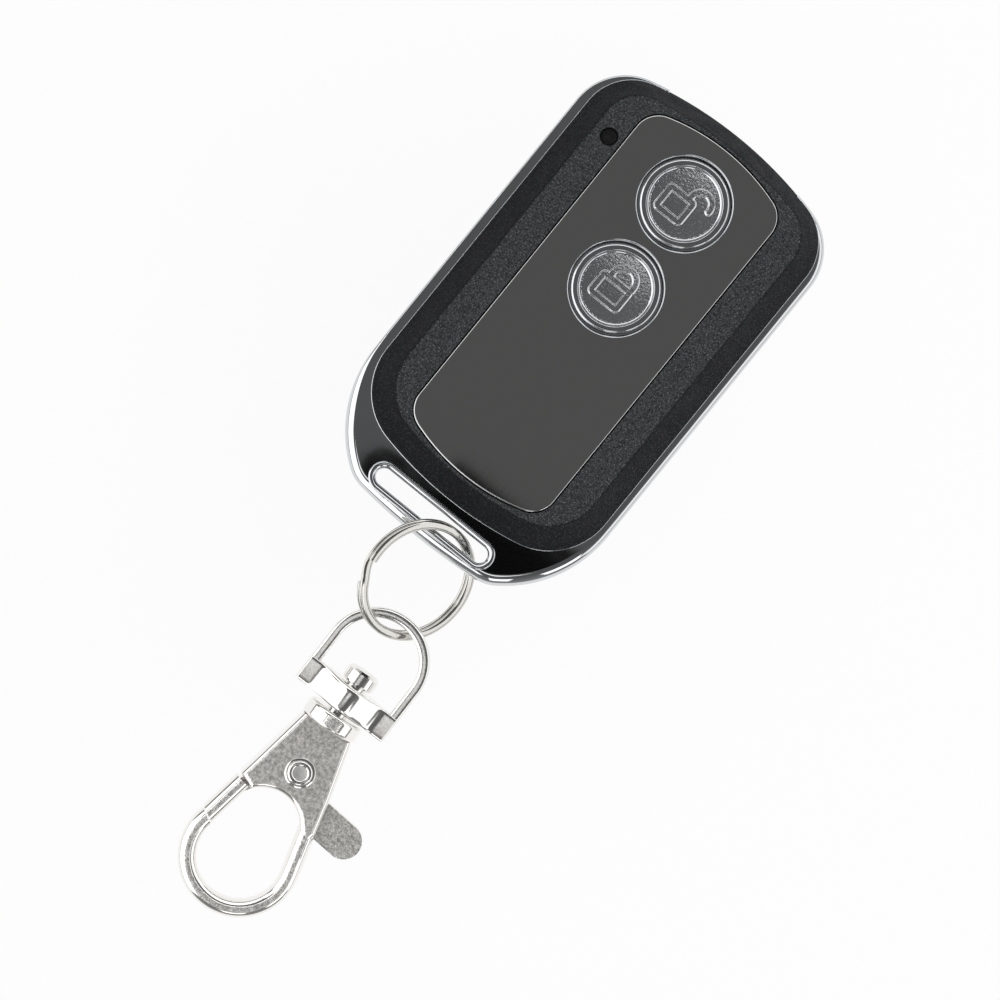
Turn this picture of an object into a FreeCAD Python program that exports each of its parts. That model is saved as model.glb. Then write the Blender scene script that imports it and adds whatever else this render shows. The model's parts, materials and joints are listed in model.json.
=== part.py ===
import FreeCAD, Part
import math
import os
import types

import Sketcher

# Key-fob remote control on a split ring with a swivel trigger hook.
# Millimetres, +Z out of the face with the buttons, +Y towards the top end with the light.
# The origin is the middle of the flat back, on the plane that the fob lies on.

SIZES = {
    # outline of the chrome frame, which is the widest part of the fob
    "frame_half_width": 17.0,
    "frame_top": 29.1,
    "frame_foot": 29.1,
    "frame_top_corner": 7.0,
    "frame_foot_corner": 15.0,
    "frame_foot_blend": 5.0,
    "frame_foot_drop": 15.5,
    "frame_top_bow": 48.0,
    "frame_foot_bow": 79.0,
    # the two black shells: how far the frame shows beside them, and their corners
    "ledge_width": 1.2,
    "foot_ledge": 5.7,
    "cover_top_corner": 6.0,
    "cover_foot_corner": 8.0,
    "cover_top_bow": 47.0,
    "cover_foot_bow": 45.0,
    # crease where the bevel meets the flat rim: width of the bevel on each side
    "bevel_side": 2.4,
    "bevel_top": 0.8,
    "bevel_foot": 2.6,
    "crease_top_corner": 4.5,
    "crease_foot_corner": 6.5,
    "crease_top_bow": 48.0,
    "crease_foot_bow": 45.0,
    # glossy face plate: width of the flat rim on each side of it
    "rim_side": 3.68,
    "rim_top": 0.55,
    "rim_foot": 0.4,
    "plate_top_corner": 3.1,
    "plate_foot_corner": 3.1,
    "plate_top_bow": 25.0,
    "plate_foot_bow": 25.0,
    "plate_gap": 0.12,
    "plate_thickness": 0.9,
    "plate_chamfer": 0.25,
    "adhesive_thickness": 0.1,
    # heights of the shells and the frame above the table
    "frame_low": 4.0,
    "frame_thickness": 2.6,
    "rim_height": 11.2,
    "cover_wall_height": 1.2,
    "roof_thickness": 1.8,
    "floor_thickness": 1.0,
    "back_chamfer": 0.9,
    # how shells and frame locate each other
    "seat_width": 1.5,
    "fit_gap": 0.1,
    "skirt_thickness": 1.0,
    "skirt_depth": 1.3,
    "rim_wall": 0.6,
    # gap in the frame at the top end, filled by a tongue of the cover
    "notch_half_width": 9.4,
    "notch_step": 0.2,
    "notch_gap": 0.05,
    # rounding of the frame and the lanyard slot in its foot
    "frame_rounding": 0.6,
    "slot_bar": 2.0,
    "slot_length": 15.7,
    "slot_width": 1.9,
    "slot_lip": 0.7,
    # buttons
    "unlock_drop": 7.65,
    "button_pitch": 12.2,
    "button_radius": 5.05,
    "button_gap": 0.25,
    "button_proud": 0.5,
    "button_dish_radius": 4.35,
    "button_dish_depth": 0.45,
    "button_rounding": 0.3,
    "button_flange": 0.8,
    "flange_thickness": 0.6,
    "button_travel": 0.4,
    "hole_chamfer": 0.3,
    # raised padlock signs on the buttons
    "sign_rise": 0.3,
    "sign_line": 0.6,
    "sign_height": 3.3,
    "sign_drop": 2.3,
    "unlock_sign_x": -0.8,
    "unlock_sign_width": 3.7,
    "lock_sign_x": -0.3,
    "lock_sign_width": 4.3,
    "shackle_line": 0.8,
    "shackle_sink": 0.2,
    "unlock_shackle_x": 1.4,
    "unlock_shackle_radius": 1.2,
    "unlock_shackle_leg": 0.3,
    "lock_shackle_x": 0.1,
    "lock_shackle_radius": 1.5,
    "lock_shackle_leg": 0.55,
    # light at the upper left
    "light_gap": 0.51,
    "light_drop": 7.1,
    "light_hole_radius": 1.0,
    "guide_radius": 0.9,
    "guide_drop": 0.6,
    "led_side": 1.6,
    "led_thickness": 0.7,
    # circuit board and what stands on it
    "board_gap": 1.0,
    "board_top_gap": 3.6,
    "board_boss_gap": 0.3,
    "board_thickness": 0.8,
    "board_corner": 1.5,
    "switch_side": 5.2,
    "switch_height": 1.4,
    "switch_gap": 0.7,
    "switch_base": 0.3,
    "plunger_radius": 1.3,
    "plunger_gap": 0.1,
    "plunger_spare": 0.2,
    "encoder_x": -7.4,
    "encoder_y": 5.5,
    "encoder_length": 3.9,
    "encoder_width": 4.9,
    "encoder_height": 1.5,
    "resonator_x": 6.5,
    "resonator_gap": 0.95,
    "resonator_length": 5.0,
    "resonator_width": 3.5,
    "resonator_height": 1.4,
    "transistor_x": 1.2,
    "transistor_gap": 1.25,
    "transistor_length": 1.3,
    "transistor_width": 2.9,
    "transistor_height": 1.0,
    "resistor_x": -8.8,
    "resistor_y": -1.5,
    "resistor_pitch": 1.6,
    "resistor_length": 1.6,
    "resistor_width": 0.8,
    "resistor_height": 0.45,
    "capacitor_x": 7.4,
    "capacitor_y": 4.4,
    "capacitor_pitch": 2.2,
    "capacitor_length": 1.6,
    "capacitor_width": 0.8,
    "capacitor_height": 0.7,
    "antenna_length": 6.5,
    "antenna_line": 0.8,
    "antenna_thickness": 0.1,
    "antenna_inset": 0.6,
    # battery under the board
    "cell_radius": 10.0,
    "cell_thickness": 3.2,
    "cell_y": -4.5,
    "contact_thickness": 0.25,
    "contact_width": 5.0,
    "contact_gap": 0.05,
    # screws from the back
    "screw_x": 8.0,
    "screw_inset": 5.1,
    "screw_radius": 1.0,
    "screw_head_radius": 1.9,
    "screw_head_thickness": 1.2,
    "screw_head_depth": 0.5,
    "screw_length": 6.6,
    "screw_gap": 0.1,
    "screw_bore_gap": 0.02,
    "screw_cross_length": 2.2,
    "screw_cross_width": 0.5,
    "screw_cross_depth": 0.6,
    "boss_wall": 1.1,
    "post_radius": 0.9,
    # split ring: two turns of flat wire joined by a short step
    "ring_x": 3.25,
    "ring_shift": 0.125,
    "ring_tilt": 38.0,
    "ring_outer_radius": 7.4,
    "ring_wire_width": 1.05,
    "ring_wire_thickness": 0.58,
    "ring_wire_bevel": 0.14,
    "ring_turn_gap": 0.04,
    "ring_step_half_angle": 12.0,
    "ring_step_bearing": 203.0,
    # swivel hook: where its axis passes the top of the crossbar, and how it lies
    "hook_x": 5.48,
    "hook_drop": 1.4,
    "yoke_slack": 1.35,
    "hook_yaw": 4.0,
    "hook_pitch": 4.2,
    "yoke_roll": 0.0,
    "yoke_lean": -2.5,
    "hook_roll": 6.0,
    # yoke
    "yoke_half_width": 6.2,
    "yoke_reach": 9.95,
    "yoke_wire": 1.15,
    "yoke_depth": 1.4,
    "yoke_rounding": 0.5,
    "crossbar_height": 3.2,
    "crossbar_depth": 2.2,
    "crossbar_rounding": 0.45,
    "boss_radius": 3.0,
    "boss_rounding": 0.35,
    "boss_blend": 1.5,
    # swivel pin and collar
    "pin_radius": 1.3,
    "pin_fit": 0.06,
    "pin_head_radius": 2.0,
    "pin_head_height": 1.8,
    "pin_head_dish": 0.5,
    "pin_head_well": 0.6,
    "pin_head_bevel": 0.3,
    "pin_end_wall": 0.4,
    "pin_play": 0.25,
    "collar_radius": 3.45,
    "collar_height": 2.0,
    "collar_rounding": 0.45,
    "collar_play": 0.35,
    # hook body, given in its own plane
    "body_thickness": 3.6,
    "body_neck_half": 3.25,
    "body_waist_left": 4.6,
    "body_waist_right": 5.05,
    "body_foot_half": 5.95,
    "body_waist_y": -12.4,
    "body_foot_y": -16.5,
    "body_tip_x": 5.6,
    "body_tip_y": -19.0,
    "body_heel_half": 5.2,
    "body_heel_y": -15.3,
    "body_rounding": 0.7,
    "arch_x": 0.22,
    "arch_y": -18.95,
    "arch_radius": 4.3,
    "arch_left": 141.0,
    "arch_right": 40.0,
    "loop_x": 0.33,
    "loop_y": -23.45,
    "loop_outer_radius": 7.05,
    "loop_wire": 2.1,
    "loop_thickness": 2.8,
    "loop_rounding": 0.95,
    "nose_bearing": 157.0,
    "nose_slant": 0.12,
    "shoulder_half": 5.4,
    "shoulder_y": -14.0,
    "shoulder_width": 2.3,
    # gate lever and its rivet
    "rivet_x": 0.35,
    "rivet_y": -11.5,
    "rivet_radius": 1.2,
    "rivet_fit": 0.06,
    "rivet_seat_gap": 0.02,
    "rivet_flare_radius": 1.8,
    "rivet_flare_height": 0.25,
    "rivet_flare_slope": 0.15,
    "rivet_dimple_radius": 0.95,
    "rivet_dimple_depth": 0.7,
    "lever_thickness": 1.5,
    "lever_gap": 0.15,
    "lever_hub_radius": 2.9,
    "web_reach": 2.0,
    "web_end_radius": 0.85,
    "gate_width": 2.05,
    "gate_root_x": -4.36,
    "gate_root_y": -16.0,
    "gate_tip_x": -5.47,
    "gate_tip_y": -21.4,
    "gate_slant": 0.33,
    "gate_gap": 0.15,
    "gate_travel": 28.0,
    "tab_root_x": 3.8,
    "tab_root_y": -14.6,
    "tab_x": 9.0,
    "tab_y": -15.27,
    "tab_radius": 2.1,
    "spring_wire": 0.35,
    "spring_radius": 1.95,
    "spring_turns": 1.5,
    "spring_pitch": 0.42,
    "spring_groove": 1.1,
    "spring_room": 0.55,
}

doc = FreeCAD.newDocument("KeyFobRemote")
sheet = doc.addObject("Spreadsheet::Sheet", "Sizes")
for row, (alias, number) in enumerate(SIZES.items(), start=1):
    sheet.set(f"A{row}", alias)
    sheet.set(f"B{row}", str(number))
    sheet.setAlias(f"B{row}", alias)
doc.recompute()


class Formula:
    """A length that knows its number and the sheet formula that gives it."""

    def __init__(self, number, text):
        self.number = number
        self.text = text

    def combine(self, other, sign, number):
        return Formula(number, f"({self.text} {sign} {formula(other).text})")

    def __add__(self, other):
        return self.combine(other, "+", self.number + formula(other).number)

    def __sub__(self, other):
        return self.combine(other, "-", self.number - formula(other).number)

    def __mul__(self, other):
        return self.combine(other, "*", self.number * formula(other).number)

    def __truediv__(self, other):
        return self.combine(other, "/", self.number / formula(other).number)

    def __neg__(self):
        return Formula(-self.number, f"(0 - {self.text})")


def formula(thing):
    """A plain number or a Formula, as a Formula."""
    if isinstance(thing, Formula):
        return thing
    return Formula(float(thing), repr(float(thing)))


s = types.SimpleNamespace(
    **{alias: Formula(float(sheet.get(alias)), f"Sizes.{alias}") for alias in SIZES}
)
n = types.SimpleNamespace(**{alias: float(sheet.get(alias)) for alias in SIZES})

NODES = []
UP = FreeCAD.Vector(0, 0, 1)
# lengths closer than this count as equal
NEAR = 0.01
# how far a cut that goes right through runs past the faces
PAST = 0.5


def vector(x, y, z=0.0):
    return FreeCAD.Vector(x, y, z)


def bind(thing, prop, size):
    """Ties one property of a feature to the sheet."""
    thing.setExpression(prop, formula(size).text)


def keep(thing, label):
    """Names a finished sub-part; its label is also its file name."""
    thing.Label = label
    NODES.append(thing)
    return thing


# Sketches


def new_body(label):
    return keep(doc.addObject("PartDesign::Body", label), label)


def new_sketch(body, name, height):
    """A sketch on the body's own XY plane, lifted to a height."""
    sketch = body.newObject("Sketcher::SketchObject", name)
    plane = [item for item in body.Origin.OriginFeatures if item.Role == "XY_Plane"][0]
    sketch.AttachmentSupport = [(plane, "")]
    sketch.MapMode = "FlatFace"
    bind(sketch, "AttachmentOffset.Base.z", height)
    return sketch


def dimension(sketch, *parts):
    """A sketch dimension whose last part is a formula from the sheet."""
    size = formula(parts[-1])
    index = sketch.addConstraint(Sketcher.Constraint(*parts[:-1], size.number))
    sketch.setExpression(f"Constraints[{index}]", size.text)


# a sketch counts the marked points of a line or an arc from 1, and its own axes from -1 down
START, END, CENTRE = range(1, 4)
X_AXIS, Y_AXIS = range(-1, -3, -1)
ORIGIN = (X_AXIS, START)


def fix_point(sketch, item, point, x, y):
    dimension(sketch, "DistanceX", *ORIGIN, item, point, x)
    dimension(sketch, "DistanceY", *ORIGIN, item, point, y)


def draw_circle(sketch, x, y, radius):
    x, y, radius = formula(x), formula(y), formula(radius)
    item = sketch.addGeometry(Part.Circle(vector(x.number, y.number), UP, radius.number))
    dimension(sketch, "Radius", item, radius)
    fix_point(sketch, item, CENTRE, x, y)


def draw_rectangle(sketch, left, right, low, high):
    """Four lines through two fixed corners."""
    left, right, low, high = [formula(item) for item in (left, right, low, high)]
    corners = [
        vector(left.number, low.number),
        vector(right.number, low.number),
        vector(right.number, high.number),
        vector(left.number, high.number),
    ]
    lines = []
    for index in range(4):
        lines.append(sketch.addGeometry(Part.LineSegment(corners[index], corners[(index + 1) % 4])))
    for index in range(4):
        sketch.addConstraint(
            Sketcher.Constraint("Coincident", lines[index], END, lines[(index + 1) % 4], START)
        )
        kind = "Horizontal" if index % 2 == 0 else "Vertical"
        sketch.addConstraint(Sketcher.Constraint(kind, lines[index]))
    fix_point(sketch, lines[0], START, left, low)
    fix_point(sketch, lines[2], START, right, high)


def draw_slot(sketch, middle_y, length, width):
    """A stadium across the Y axis."""
    middle_y, length, width = formula(middle_y), formula(length), formula(width)
    radius = width / 2
    reach = (length - width) / 2
    y, r, x = middle_y.number, radius.number, reach.number
    right = sketch.addGeometry(
        Part.ArcOfCircle(Part.Circle(vector(x, y), UP, r), -math.pi / 2, math.pi / 2)
    )
    left = sketch.addGeometry(
        Part.ArcOfCircle(Part.Circle(vector(-x, y), UP, r), math.pi / 2, 3 * math.pi / 2)
    )
    top = sketch.addGeometry(Part.LineSegment(vector(x, y + r), vector(-x, y + r)))
    low = sketch.addGeometry(Part.LineSegment(vector(-x, y - r), vector(x, y - r)))
    for first, second in ((right, top), (top, left), (left, low), (low, right)):
        sketch.addConstraint(Sketcher.Constraint("Tangent", first, END, second, START))
    dimension(sketch, "Radius", right, radius)
    fix_point(sketch, right, CENTRE, reach, middle_y)
    fix_point(sketch, left, CENTRE, -reach, middle_y)


def draw_shackle(sketch, x, low, leg, radius, line):
    """A half ring on two straight legs, open downwards, that stands on the level low."""
    x, low, leg, radius, line = [formula(item) for item in (x, low, leg, radius, line)]
    arcs = []
    for size in (radius + line / 2, radius - line / 2):
        centre = vector(x.number, (low + leg).number)
        circle = Part.Circle(centre, UP, size.number)
        arcs.append(sketch.addGeometry(Part.ArcOfCircle(circle, 0, math.pi)))
        dimension(sketch, "Radius", arcs[-1], size)
        fix_point(sketch, arcs[-1], CENTRE, x, low + leg)
    for point, side in ((START, 1), (END, -1)):
        legs = []
        for arc, size in zip(arcs, (radius + line / 2, radius - line / 2)):
            top = vector(x.number + side * size.number, (low + leg).number)
            foot = vector(top.x, low.number)
            legs.append(sketch.addGeometry(Part.LineSegment(top, foot)))
            sketch.addConstraint(Sketcher.Constraint("Tangent", arc, point, legs[-1], START))
            dimension(sketch, "DistanceY", *ORIGIN, legs[-1], END, low)
        ends = [sketch.getPoint(item, END) for item in legs]
        foot_line = sketch.addGeometry(Part.LineSegment(*ends))
        for item, end in zip(legs, (START, END)):
            sketch.addConstraint(Sketcher.Constraint("Coincident", foot_line, end, item, END))


# Rounded outlines with bowed ends, as the fob, its shells and its plate have


def outline(name, half_width, top, foot):
    """The reach of a named outline to its sides and ends, with its corners and bows."""
    shape = {"half_width": half_width, "top": top, "foot": foot}
    for part in ("top_corner", "foot_corner", "top_bow", "foot_bow"):
        shape[part] = getattr(s, f"{name}_{part}")
    return shape


FRAME = outline("frame", s.frame_half_width, s.frame_top, s.frame_foot)
COVER = outline(
    "cover",
    FRAME["half_width"] - s.ledge_width,
    FRAME["top"] - s.ledge_width,
    FRAME["foot"] - s.foot_ledge,
)
CREASE = outline(
    "crease",
    COVER["half_width"] - s.bevel_side,
    COVER["top"] - s.bevel_top,
    COVER["foot"] - s.bevel_foot,
)
PLATE = outline(
    "plate",
    CREASE["half_width"] - s.rim_side,
    CREASE["top"] - s.rim_top,
    CREASE["foot"] - s.rim_foot,
)


def inset(shape, distance):
    """An outline moved inwards by an even distance."""
    return {key: size - distance for key, size in shape.items()}


def corner_drop(half_width, corner, bow):
    """How far a corner arc's centre lies beyond the bow arc's centre, both arcs touching."""
    return math.sqrt((bow - corner) ** 2 - (half_width - corner) ** 2)


def blend_centre(bow_centre, bow_reach, corner_centre, corner_reach):
    """Centre of a small arc that touches a bow arc and a corner arc from inside."""
    gap = corner_centre - bow_centre
    along = (bow_reach**2 - corner_reach**2 + gap.Length**2) / (2 * gap.Length)
    across = math.sqrt(bow_reach**2 - along**2)
    direction = gap.normalize()
    side = vector(-direction.y, direction.x)
    options = [bow_centre + direction * along + side * across * sign for sign in (1, -1)]
    return max(options, key=lambda point: point.x)


def bearing(start, end):
    return math.atan2(end.y - start.y, end.x - start.x)


def draw_outline(sketch, shape, blend=None, drop=None):
    """A closed chain of tangent arcs and two side lines, the same left and right."""
    width = shape["half_width"].number
    top_bow = shape["top_bow"].number
    foot_bow = shape["foot_bow"].number
    top_corner = shape["top_corner"].number
    foot_corner = shape["foot_corner"].number
    top_middle = vector(0, shape["top"].number - top_bow)
    foot_middle = vector(0, foot_bow - shape["foot"].number)
    top_centre = top_middle + vector(
        width - top_corner, corner_drop(width, top_corner, top_bow)
    )
    if blend is None:
        foot_centre = foot_middle + vector(
            width - foot_corner, -corner_drop(width, foot_corner, foot_bow)
        )
        foot_arcs = [(foot_centre, foot_corner, bearing(foot_middle, foot_centre), 0.0)]
    else:
        foot_centre = vector(width - foot_corner, -drop.number)
        middle = blend_centre(
            foot_middle, foot_bow - blend.number, foot_centre, foot_corner - blend.number
        )
        turn = bearing(foot_centre, middle)
        foot_arcs = [
            (middle, blend.number, bearing(foot_middle, middle), turn),
            (foot_centre, foot_corner, turn, 0.0),
        ]
    foot_angle = foot_arcs[0][2]
    top_angle = bearing(top_middle, top_centre)

    def arc(centre, radius, first, last):
        return sketch.addGeometry(
            Part.ArcOfCircle(Part.Circle(centre, UP, radius), first, last)
        )

    def mirrored(centre, radius, first, last):
        return arc(vector(-centre.x, centre.y), radius, math.pi - last, math.pi - first)

    def side_line(x, low, high):
        return sketch.addGeometry(Part.LineSegment(vector(x, low), vector(x, high)))

    foot = arc(foot_middle, foot_bow, -math.pi - foot_angle, foot_angle)
    right_foot = [arc(*item) for item in foot_arcs]
    right = side_line(width, foot_centre.y, top_centre.y)
    right_top = arc(top_centre, top_corner, 0.0, top_angle)
    top = arc(top_middle, top_bow, top_angle, math.pi - top_angle)
    left_top = mirrored(top_centre, top_corner, 0.0, top_angle)
    left = side_line(-width, top_centre.y, foot_centre.y)
    left_foot = [mirrored(*item) for item in reversed(foot_arcs)]
    chain = [foot, *right_foot, right, right_top, top, left_top, left, *left_foot]
    for first, second in zip(chain, chain[1:] + chain[:1]):
        sketch.addConstraint(Sketcher.Constraint("Tangent", first, END, second, START))
    for line in (right, left):
        sketch.addConstraint(Sketcher.Constraint("Vertical", line))
    for bow in (foot, top):
        sketch.addConstraint(Sketcher.Constraint("PointOnObject", bow, CENTRE, Y_AXIS))
    for first, second in zip([right_top, *right_foot], [left_top, *reversed(left_foot)]):
        sketch.addConstraint(Sketcher.Constraint("Equal", first, second))
    dimension(sketch, "Radius", foot, shape["foot_bow"])
    dimension(sketch, "Radius", top, shape["top_bow"])
    dimension(sketch, "Radius", right_foot[-1], shape["foot_corner"])
    dimension(sketch, "Radius", right_top, shape["top_corner"])
    dimension(sketch, "DistanceX", *ORIGIN, right, START, shape["half_width"])
    dimension(sketch, "DistanceX", left, START, *ORIGIN, shape["half_width"])
    dimension(sketch, "DistanceY", *ORIGIN, foot, CENTRE, shape["foot_bow"] - shape["foot"])
    dimension(sketch, "DistanceY", *ORIGIN, top, CENTRE, shape["top"] - shape["top_bow"])
    if blend is not None:
        dimension(sketch, "Radius", right_foot[0], blend)
        dimension(sketch, "DistanceY", right_foot[-1], CENTRE, *ORIGIN, drop)
        dimension(sketch, "DistanceY", left_foot[0], CENTRE, *ORIGIN, drop)


# Features


def pad(body, sketch, length, down=False):
    feature = body.newObject("PartDesign::Pad", f"{sketch.Name}_pad")
    feature.Profile = sketch
    bind(feature, "Length", length)
    feature.Reversed = down
    return feature


def pocket(body, sketch, depth):
    """Cuts from the sketch downwards and makes sure that something went."""
    doc.recompute()
    before = body.Shape.Volume
    feature = body.newObject("PartDesign::Pocket", f"{sketch.Name}_pocket")
    feature.Profile = sketch
    bind(feature, "Length", depth)
    doc.recompute()
    if body.Shape.Volume > before - NEAR:
        raise RuntimeError(f"{sketch.Name} cut nothing")
    return feature


def dress(body, kind, size, chosen):
    """A fillet or chamfer on the edges of the newest feature that pass a test."""
    doc.recompute()
    base = body.Tip
    names = [
        f"Edge{index}" for index, edge in enumerate(base.Shape.Edges, start=1) if chosen(edge)
    ]
    feature = body.newObject(f"PartDesign::{kind}", f"{body.Name}_{kind}")
    feature.Base = (base, names)
    bind(feature, "Radius" if kind == "Fillet" else "Size", size)
    return feature


def level(height):
    """A test for edges that lie flat at one height."""

    def test(edge):
        box = edge.BoundBox
        return abs(box.ZMin - height) < NEAR and abs(box.ZMax - height) < NEAR

    return test


def outline_pad(body, name, shape, low, height, down=False):
    sketch = new_sketch(body, name, low)
    draw_outline(sketch, shape)
    return pad(body, sketch, height, down)


def outline_pocket(body, name, shape, high, depth):
    sketch = new_sketch(body, name, high)
    draw_outline(sketch, shape)
    return pocket(body, sketch, depth)


# Heights and places that follow from the driving sizes

FRAME_HIGH = s.frame_low + s.frame_thickness
PLATE_SEAT = s.rim_height - s.plate_thickness - s.adhesive_thickness
ROOF = s.rim_height - s.roof_thickness
WALL_TOP = FRAME_HIGH + s.cover_wall_height
LIP_HEIGHT = s.frame_thickness - s.skirt_depth - s.fit_gap
SKIRT_INNER = s.seat_width + s.fit_gap + s.skirt_thickness
FLOOR_MIDDLE = s.floor_thickness / 2
CELL_LOW = s.floor_thickness + s.contact_thickness + s.contact_gap
CELL_TOP = CELL_LOW + s.cell_thickness
FLANGE_LOW = ROOF - s.flange_thickness
BOARD_HIGH = FLANGE_LOW - s.switch_gap - s.switch_height
BOARD_LOW = BOARD_HIGH - s.board_thickness
BUTTON_TOP = s.rim_height + s.button_proud
BUTTON_FACE = BUTTON_TOP - s.button_dish_depth
HOLE_RADIUS = s.button_radius + s.button_gap
UNLOCK_Y = PLATE["top"] - s.unlock_drop
LOCK_Y = UNLOCK_Y - s.button_pitch
BUTTONS = (("unlock", UNLOCK_Y), ("lock", LOCK_Y))
LIGHT_X = -(PLATE["half_width"] + s.plate_gap + s.light_gap + s.light_hole_radius)
LIGHT_Y = PLATE["top"] - s.light_drop
SCREW_HOLE = s.screw_radius + s.screw_gap
SCREW_SEAT = s.screw_head_depth + s.screw_head_thickness
SCREW_TIP = SCREW_SEAT + s.screw_length
BOSS_RADIUS = SCREW_HOLE + s.boss_wall
HEAD_HOLE = s.screw_head_radius + s.screw_gap
BOSS_MEETING = s.frame_low + LIP_HEIGHT
SCREW_Y = s.screw_inset - COVER["foot"]
SCREW_PLACES = ((s.screw_x, SCREW_Y), (-s.screw_x, SCREW_Y))
BOARD_HALF = COVER["half_width"] - SKIRT_INNER - s.board_gap
BOARD_TOP = COVER["top"] - SKIRT_INNER - s.board_top_gap
BOARD_FOOT = SCREW_Y + BOSS_RADIUS + s.board_boss_gap
POST_X = BOARD_HALF - s.post_radius
POST_PLACES = [
    (side, y)
    for side in (POST_X, -POST_X)
    for y in (BOARD_FOOT + s.post_radius, LOCK_Y + s.switch_side)
]
ANTENNA_FOOT = BOARD_FOOT + s.antenna_inset
ANTENNA_TOP = ANTENNA_FOOT + s.antenna_length
SLOT_Y = s.slot_bar + s.slot_width / 2 - FRAME["foot"]


# Front shell

top_cover = new_body("top_cover")
outline_pad(top_cover, "cover_wall", COVER, FRAME_HIGH, s.cover_wall_height)
bevel_low = new_sketch(top_cover, "bevel_low", WALL_TOP)
draw_outline(bevel_low, COVER)
bevel_high = new_sketch(top_cover, "bevel_high", s.rim_height)
draw_outline(bevel_high, CREASE)
bevel = top_cover.newObject("PartDesign::AdditiveLoft", "bevel")
bevel.Profile = bevel_low
bevel.Sections = [bevel_high]
bevel.Ruled = True
outline_pad(
    top_cover,
    "skirt",
    inset(COVER, s.seat_width + s.fit_gap),
    FRAME_HIGH,
    s.skirt_depth,
    down=True,
)

# Tongue that fills the gap of the frame
tongue = new_sketch(top_cover, "tongue", s.frame_low + s.notch_gap)
tongue_half = s.notch_half_width - s.notch_gap
tongue_bow = s.frame_top_bow - s.notch_step
tongue_middle = s.frame_top - s.frame_top_bow
tongue_back = COVER["top"] - s.seat_width
rise = math.sqrt(tongue_bow.number**2 - tongue_half.number**2)
turn = math.acos(tongue_half.number / tongue_bow.number)
ends = [
    vector(side * tongue_half.number, y)
    for side, y in (
        (-1, tongue_back.number),
        (1, tongue_back.number),
        (1, tongue_middle.number + rise),
        (-1, tongue_middle.number + rise),
    )
]
base_line = tongue.addGeometry(Part.LineSegment(ends[0], ends[1]))
right_line = tongue.addGeometry(Part.LineSegment(ends[1], ends[2]))
front_arc = tongue.addGeometry(
    Part.ArcOfCircle(
        Part.Circle(vector(0, tongue_middle.number), UP, tongue_bow.number), turn, math.pi - turn
    )
)
left_line = tongue.addGeometry(Part.LineSegment(ends[3], ends[0]))
tongue_chain = [base_line, right_line, front_arc, left_line]
for first, second in zip(tongue_chain, tongue_chain[1:] + tongue_chain[:1]):
    tongue.addConstraint(Sketcher.Constraint("Coincident", first, END, second, START))
tongue.addConstraint(Sketcher.Constraint("Horizontal", base_line))
tongue.addConstraint(Sketcher.Constraint("Vertical", right_line))
tongue.addConstraint(Sketcher.Constraint("Vertical", left_line))
dimension(tongue, "Radius", front_arc, tongue_bow)
fix_point(tongue, front_arc, CENTRE, 0.0, tongue_middle)
fix_point(tongue, base_line, START, -tongue_half, tongue_back)
dimension(tongue, "DistanceX", *ORIGIN, base_line, END, tongue_half)
pad(top_cover, tongue, WALL_TOP - s.frame_low - s.notch_gap)

# Hollow of the front shell: wide inside the skirt, narrower under the rim
outline_pocket(
    top_cover, "skirt_hollow", inset(COVER, SKIRT_INNER), WALL_TOP, WALL_TOP - s.frame_low
)
outline_pocket(
    top_cover, "rim_hollow", inset(CREASE, s.rim_wall), ROOF, ROOF - FRAME_HIGH
)
outline_pocket(
    top_cover,
    "plate_seat",
    inset(PLATE, -s.plate_gap),
    s.rim_height,
    s.rim_height - PLATE_SEAT,
)
bosses = new_sketch(top_cover, "bosses", ROOF)
for x, y in SCREW_PLACES:
    draw_circle(bosses, x, y, BOSS_RADIUS)
pad(top_cover, bosses, ROOF - BOSS_MEETING - s.fit_gap, down=True)
posts = new_sketch(top_cover, "posts", ROOF)
for x, y in POST_PLACES:
    draw_circle(posts, x, y, s.post_radius)
pad(top_cover, posts, ROOF - BOARD_HIGH, down=True)
screw_bores = new_sketch(top_cover, "screw_bores", SCREW_TIP + s.fit_gap)
for x, y in SCREW_PLACES:
    draw_circle(screw_bores, x, y, s.screw_radius + s.screw_bore_gap)
pocket(top_cover, screw_bores, SCREW_TIP + s.fit_gap - s.frame_low)
holes = new_sketch(top_cover, "holes", s.rim_height)
for name, y in BUTTONS:
    draw_circle(holes, 0.0, y, HOLE_RADIUS)
draw_circle(holes, LIGHT_X, LIGHT_Y, s.light_hole_radius)
pocket(top_cover, holes, s.rim_height - ROOF + PAST)


# Glossy plate and the film that holds it

adhesive = new_body("plate_adhesive")
outline_pad(adhesive, "film", inset(PLATE, s.plate_chamfer), PLATE_SEAT, s.adhesive_thickness)
film_holes = new_sketch(adhesive, "film_holes", PLATE_SEAT + s.adhesive_thickness)
for name, y in BUTTONS:
    draw_circle(film_holes, 0.0, y, HOLE_RADIUS + s.hole_chamfer)
pocket(adhesive, film_holes, s.adhesive_thickness)

face_plate = new_body("face_plate")
outline_pad(
    face_plate, "plate", PLATE, PLATE_SEAT + s.adhesive_thickness, s.plate_thickness
)
dress(face_plate, "Chamfer", s.plate_chamfer, level(n.rim_height))
plate_holes = new_sketch(face_plate, "plate_holes", s.rim_height)
for name, y in BUTTONS:
    draw_circle(plate_holes, 0.0, y, HOLE_RADIUS)
pocket(face_plate, plate_holes, s.plate_thickness + PAST)


def hole_rim(edge):
    if not isinstance(edge.Curve, Part.Circle) or not level(n.rim_height)(edge):
        return False
    return abs(edge.Curve.Radius - HOLE_RADIUS.number) < NEAR


dress(face_plate, "Chamfer", s.hole_chamfer, hole_rim)


# Rear shell

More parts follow.
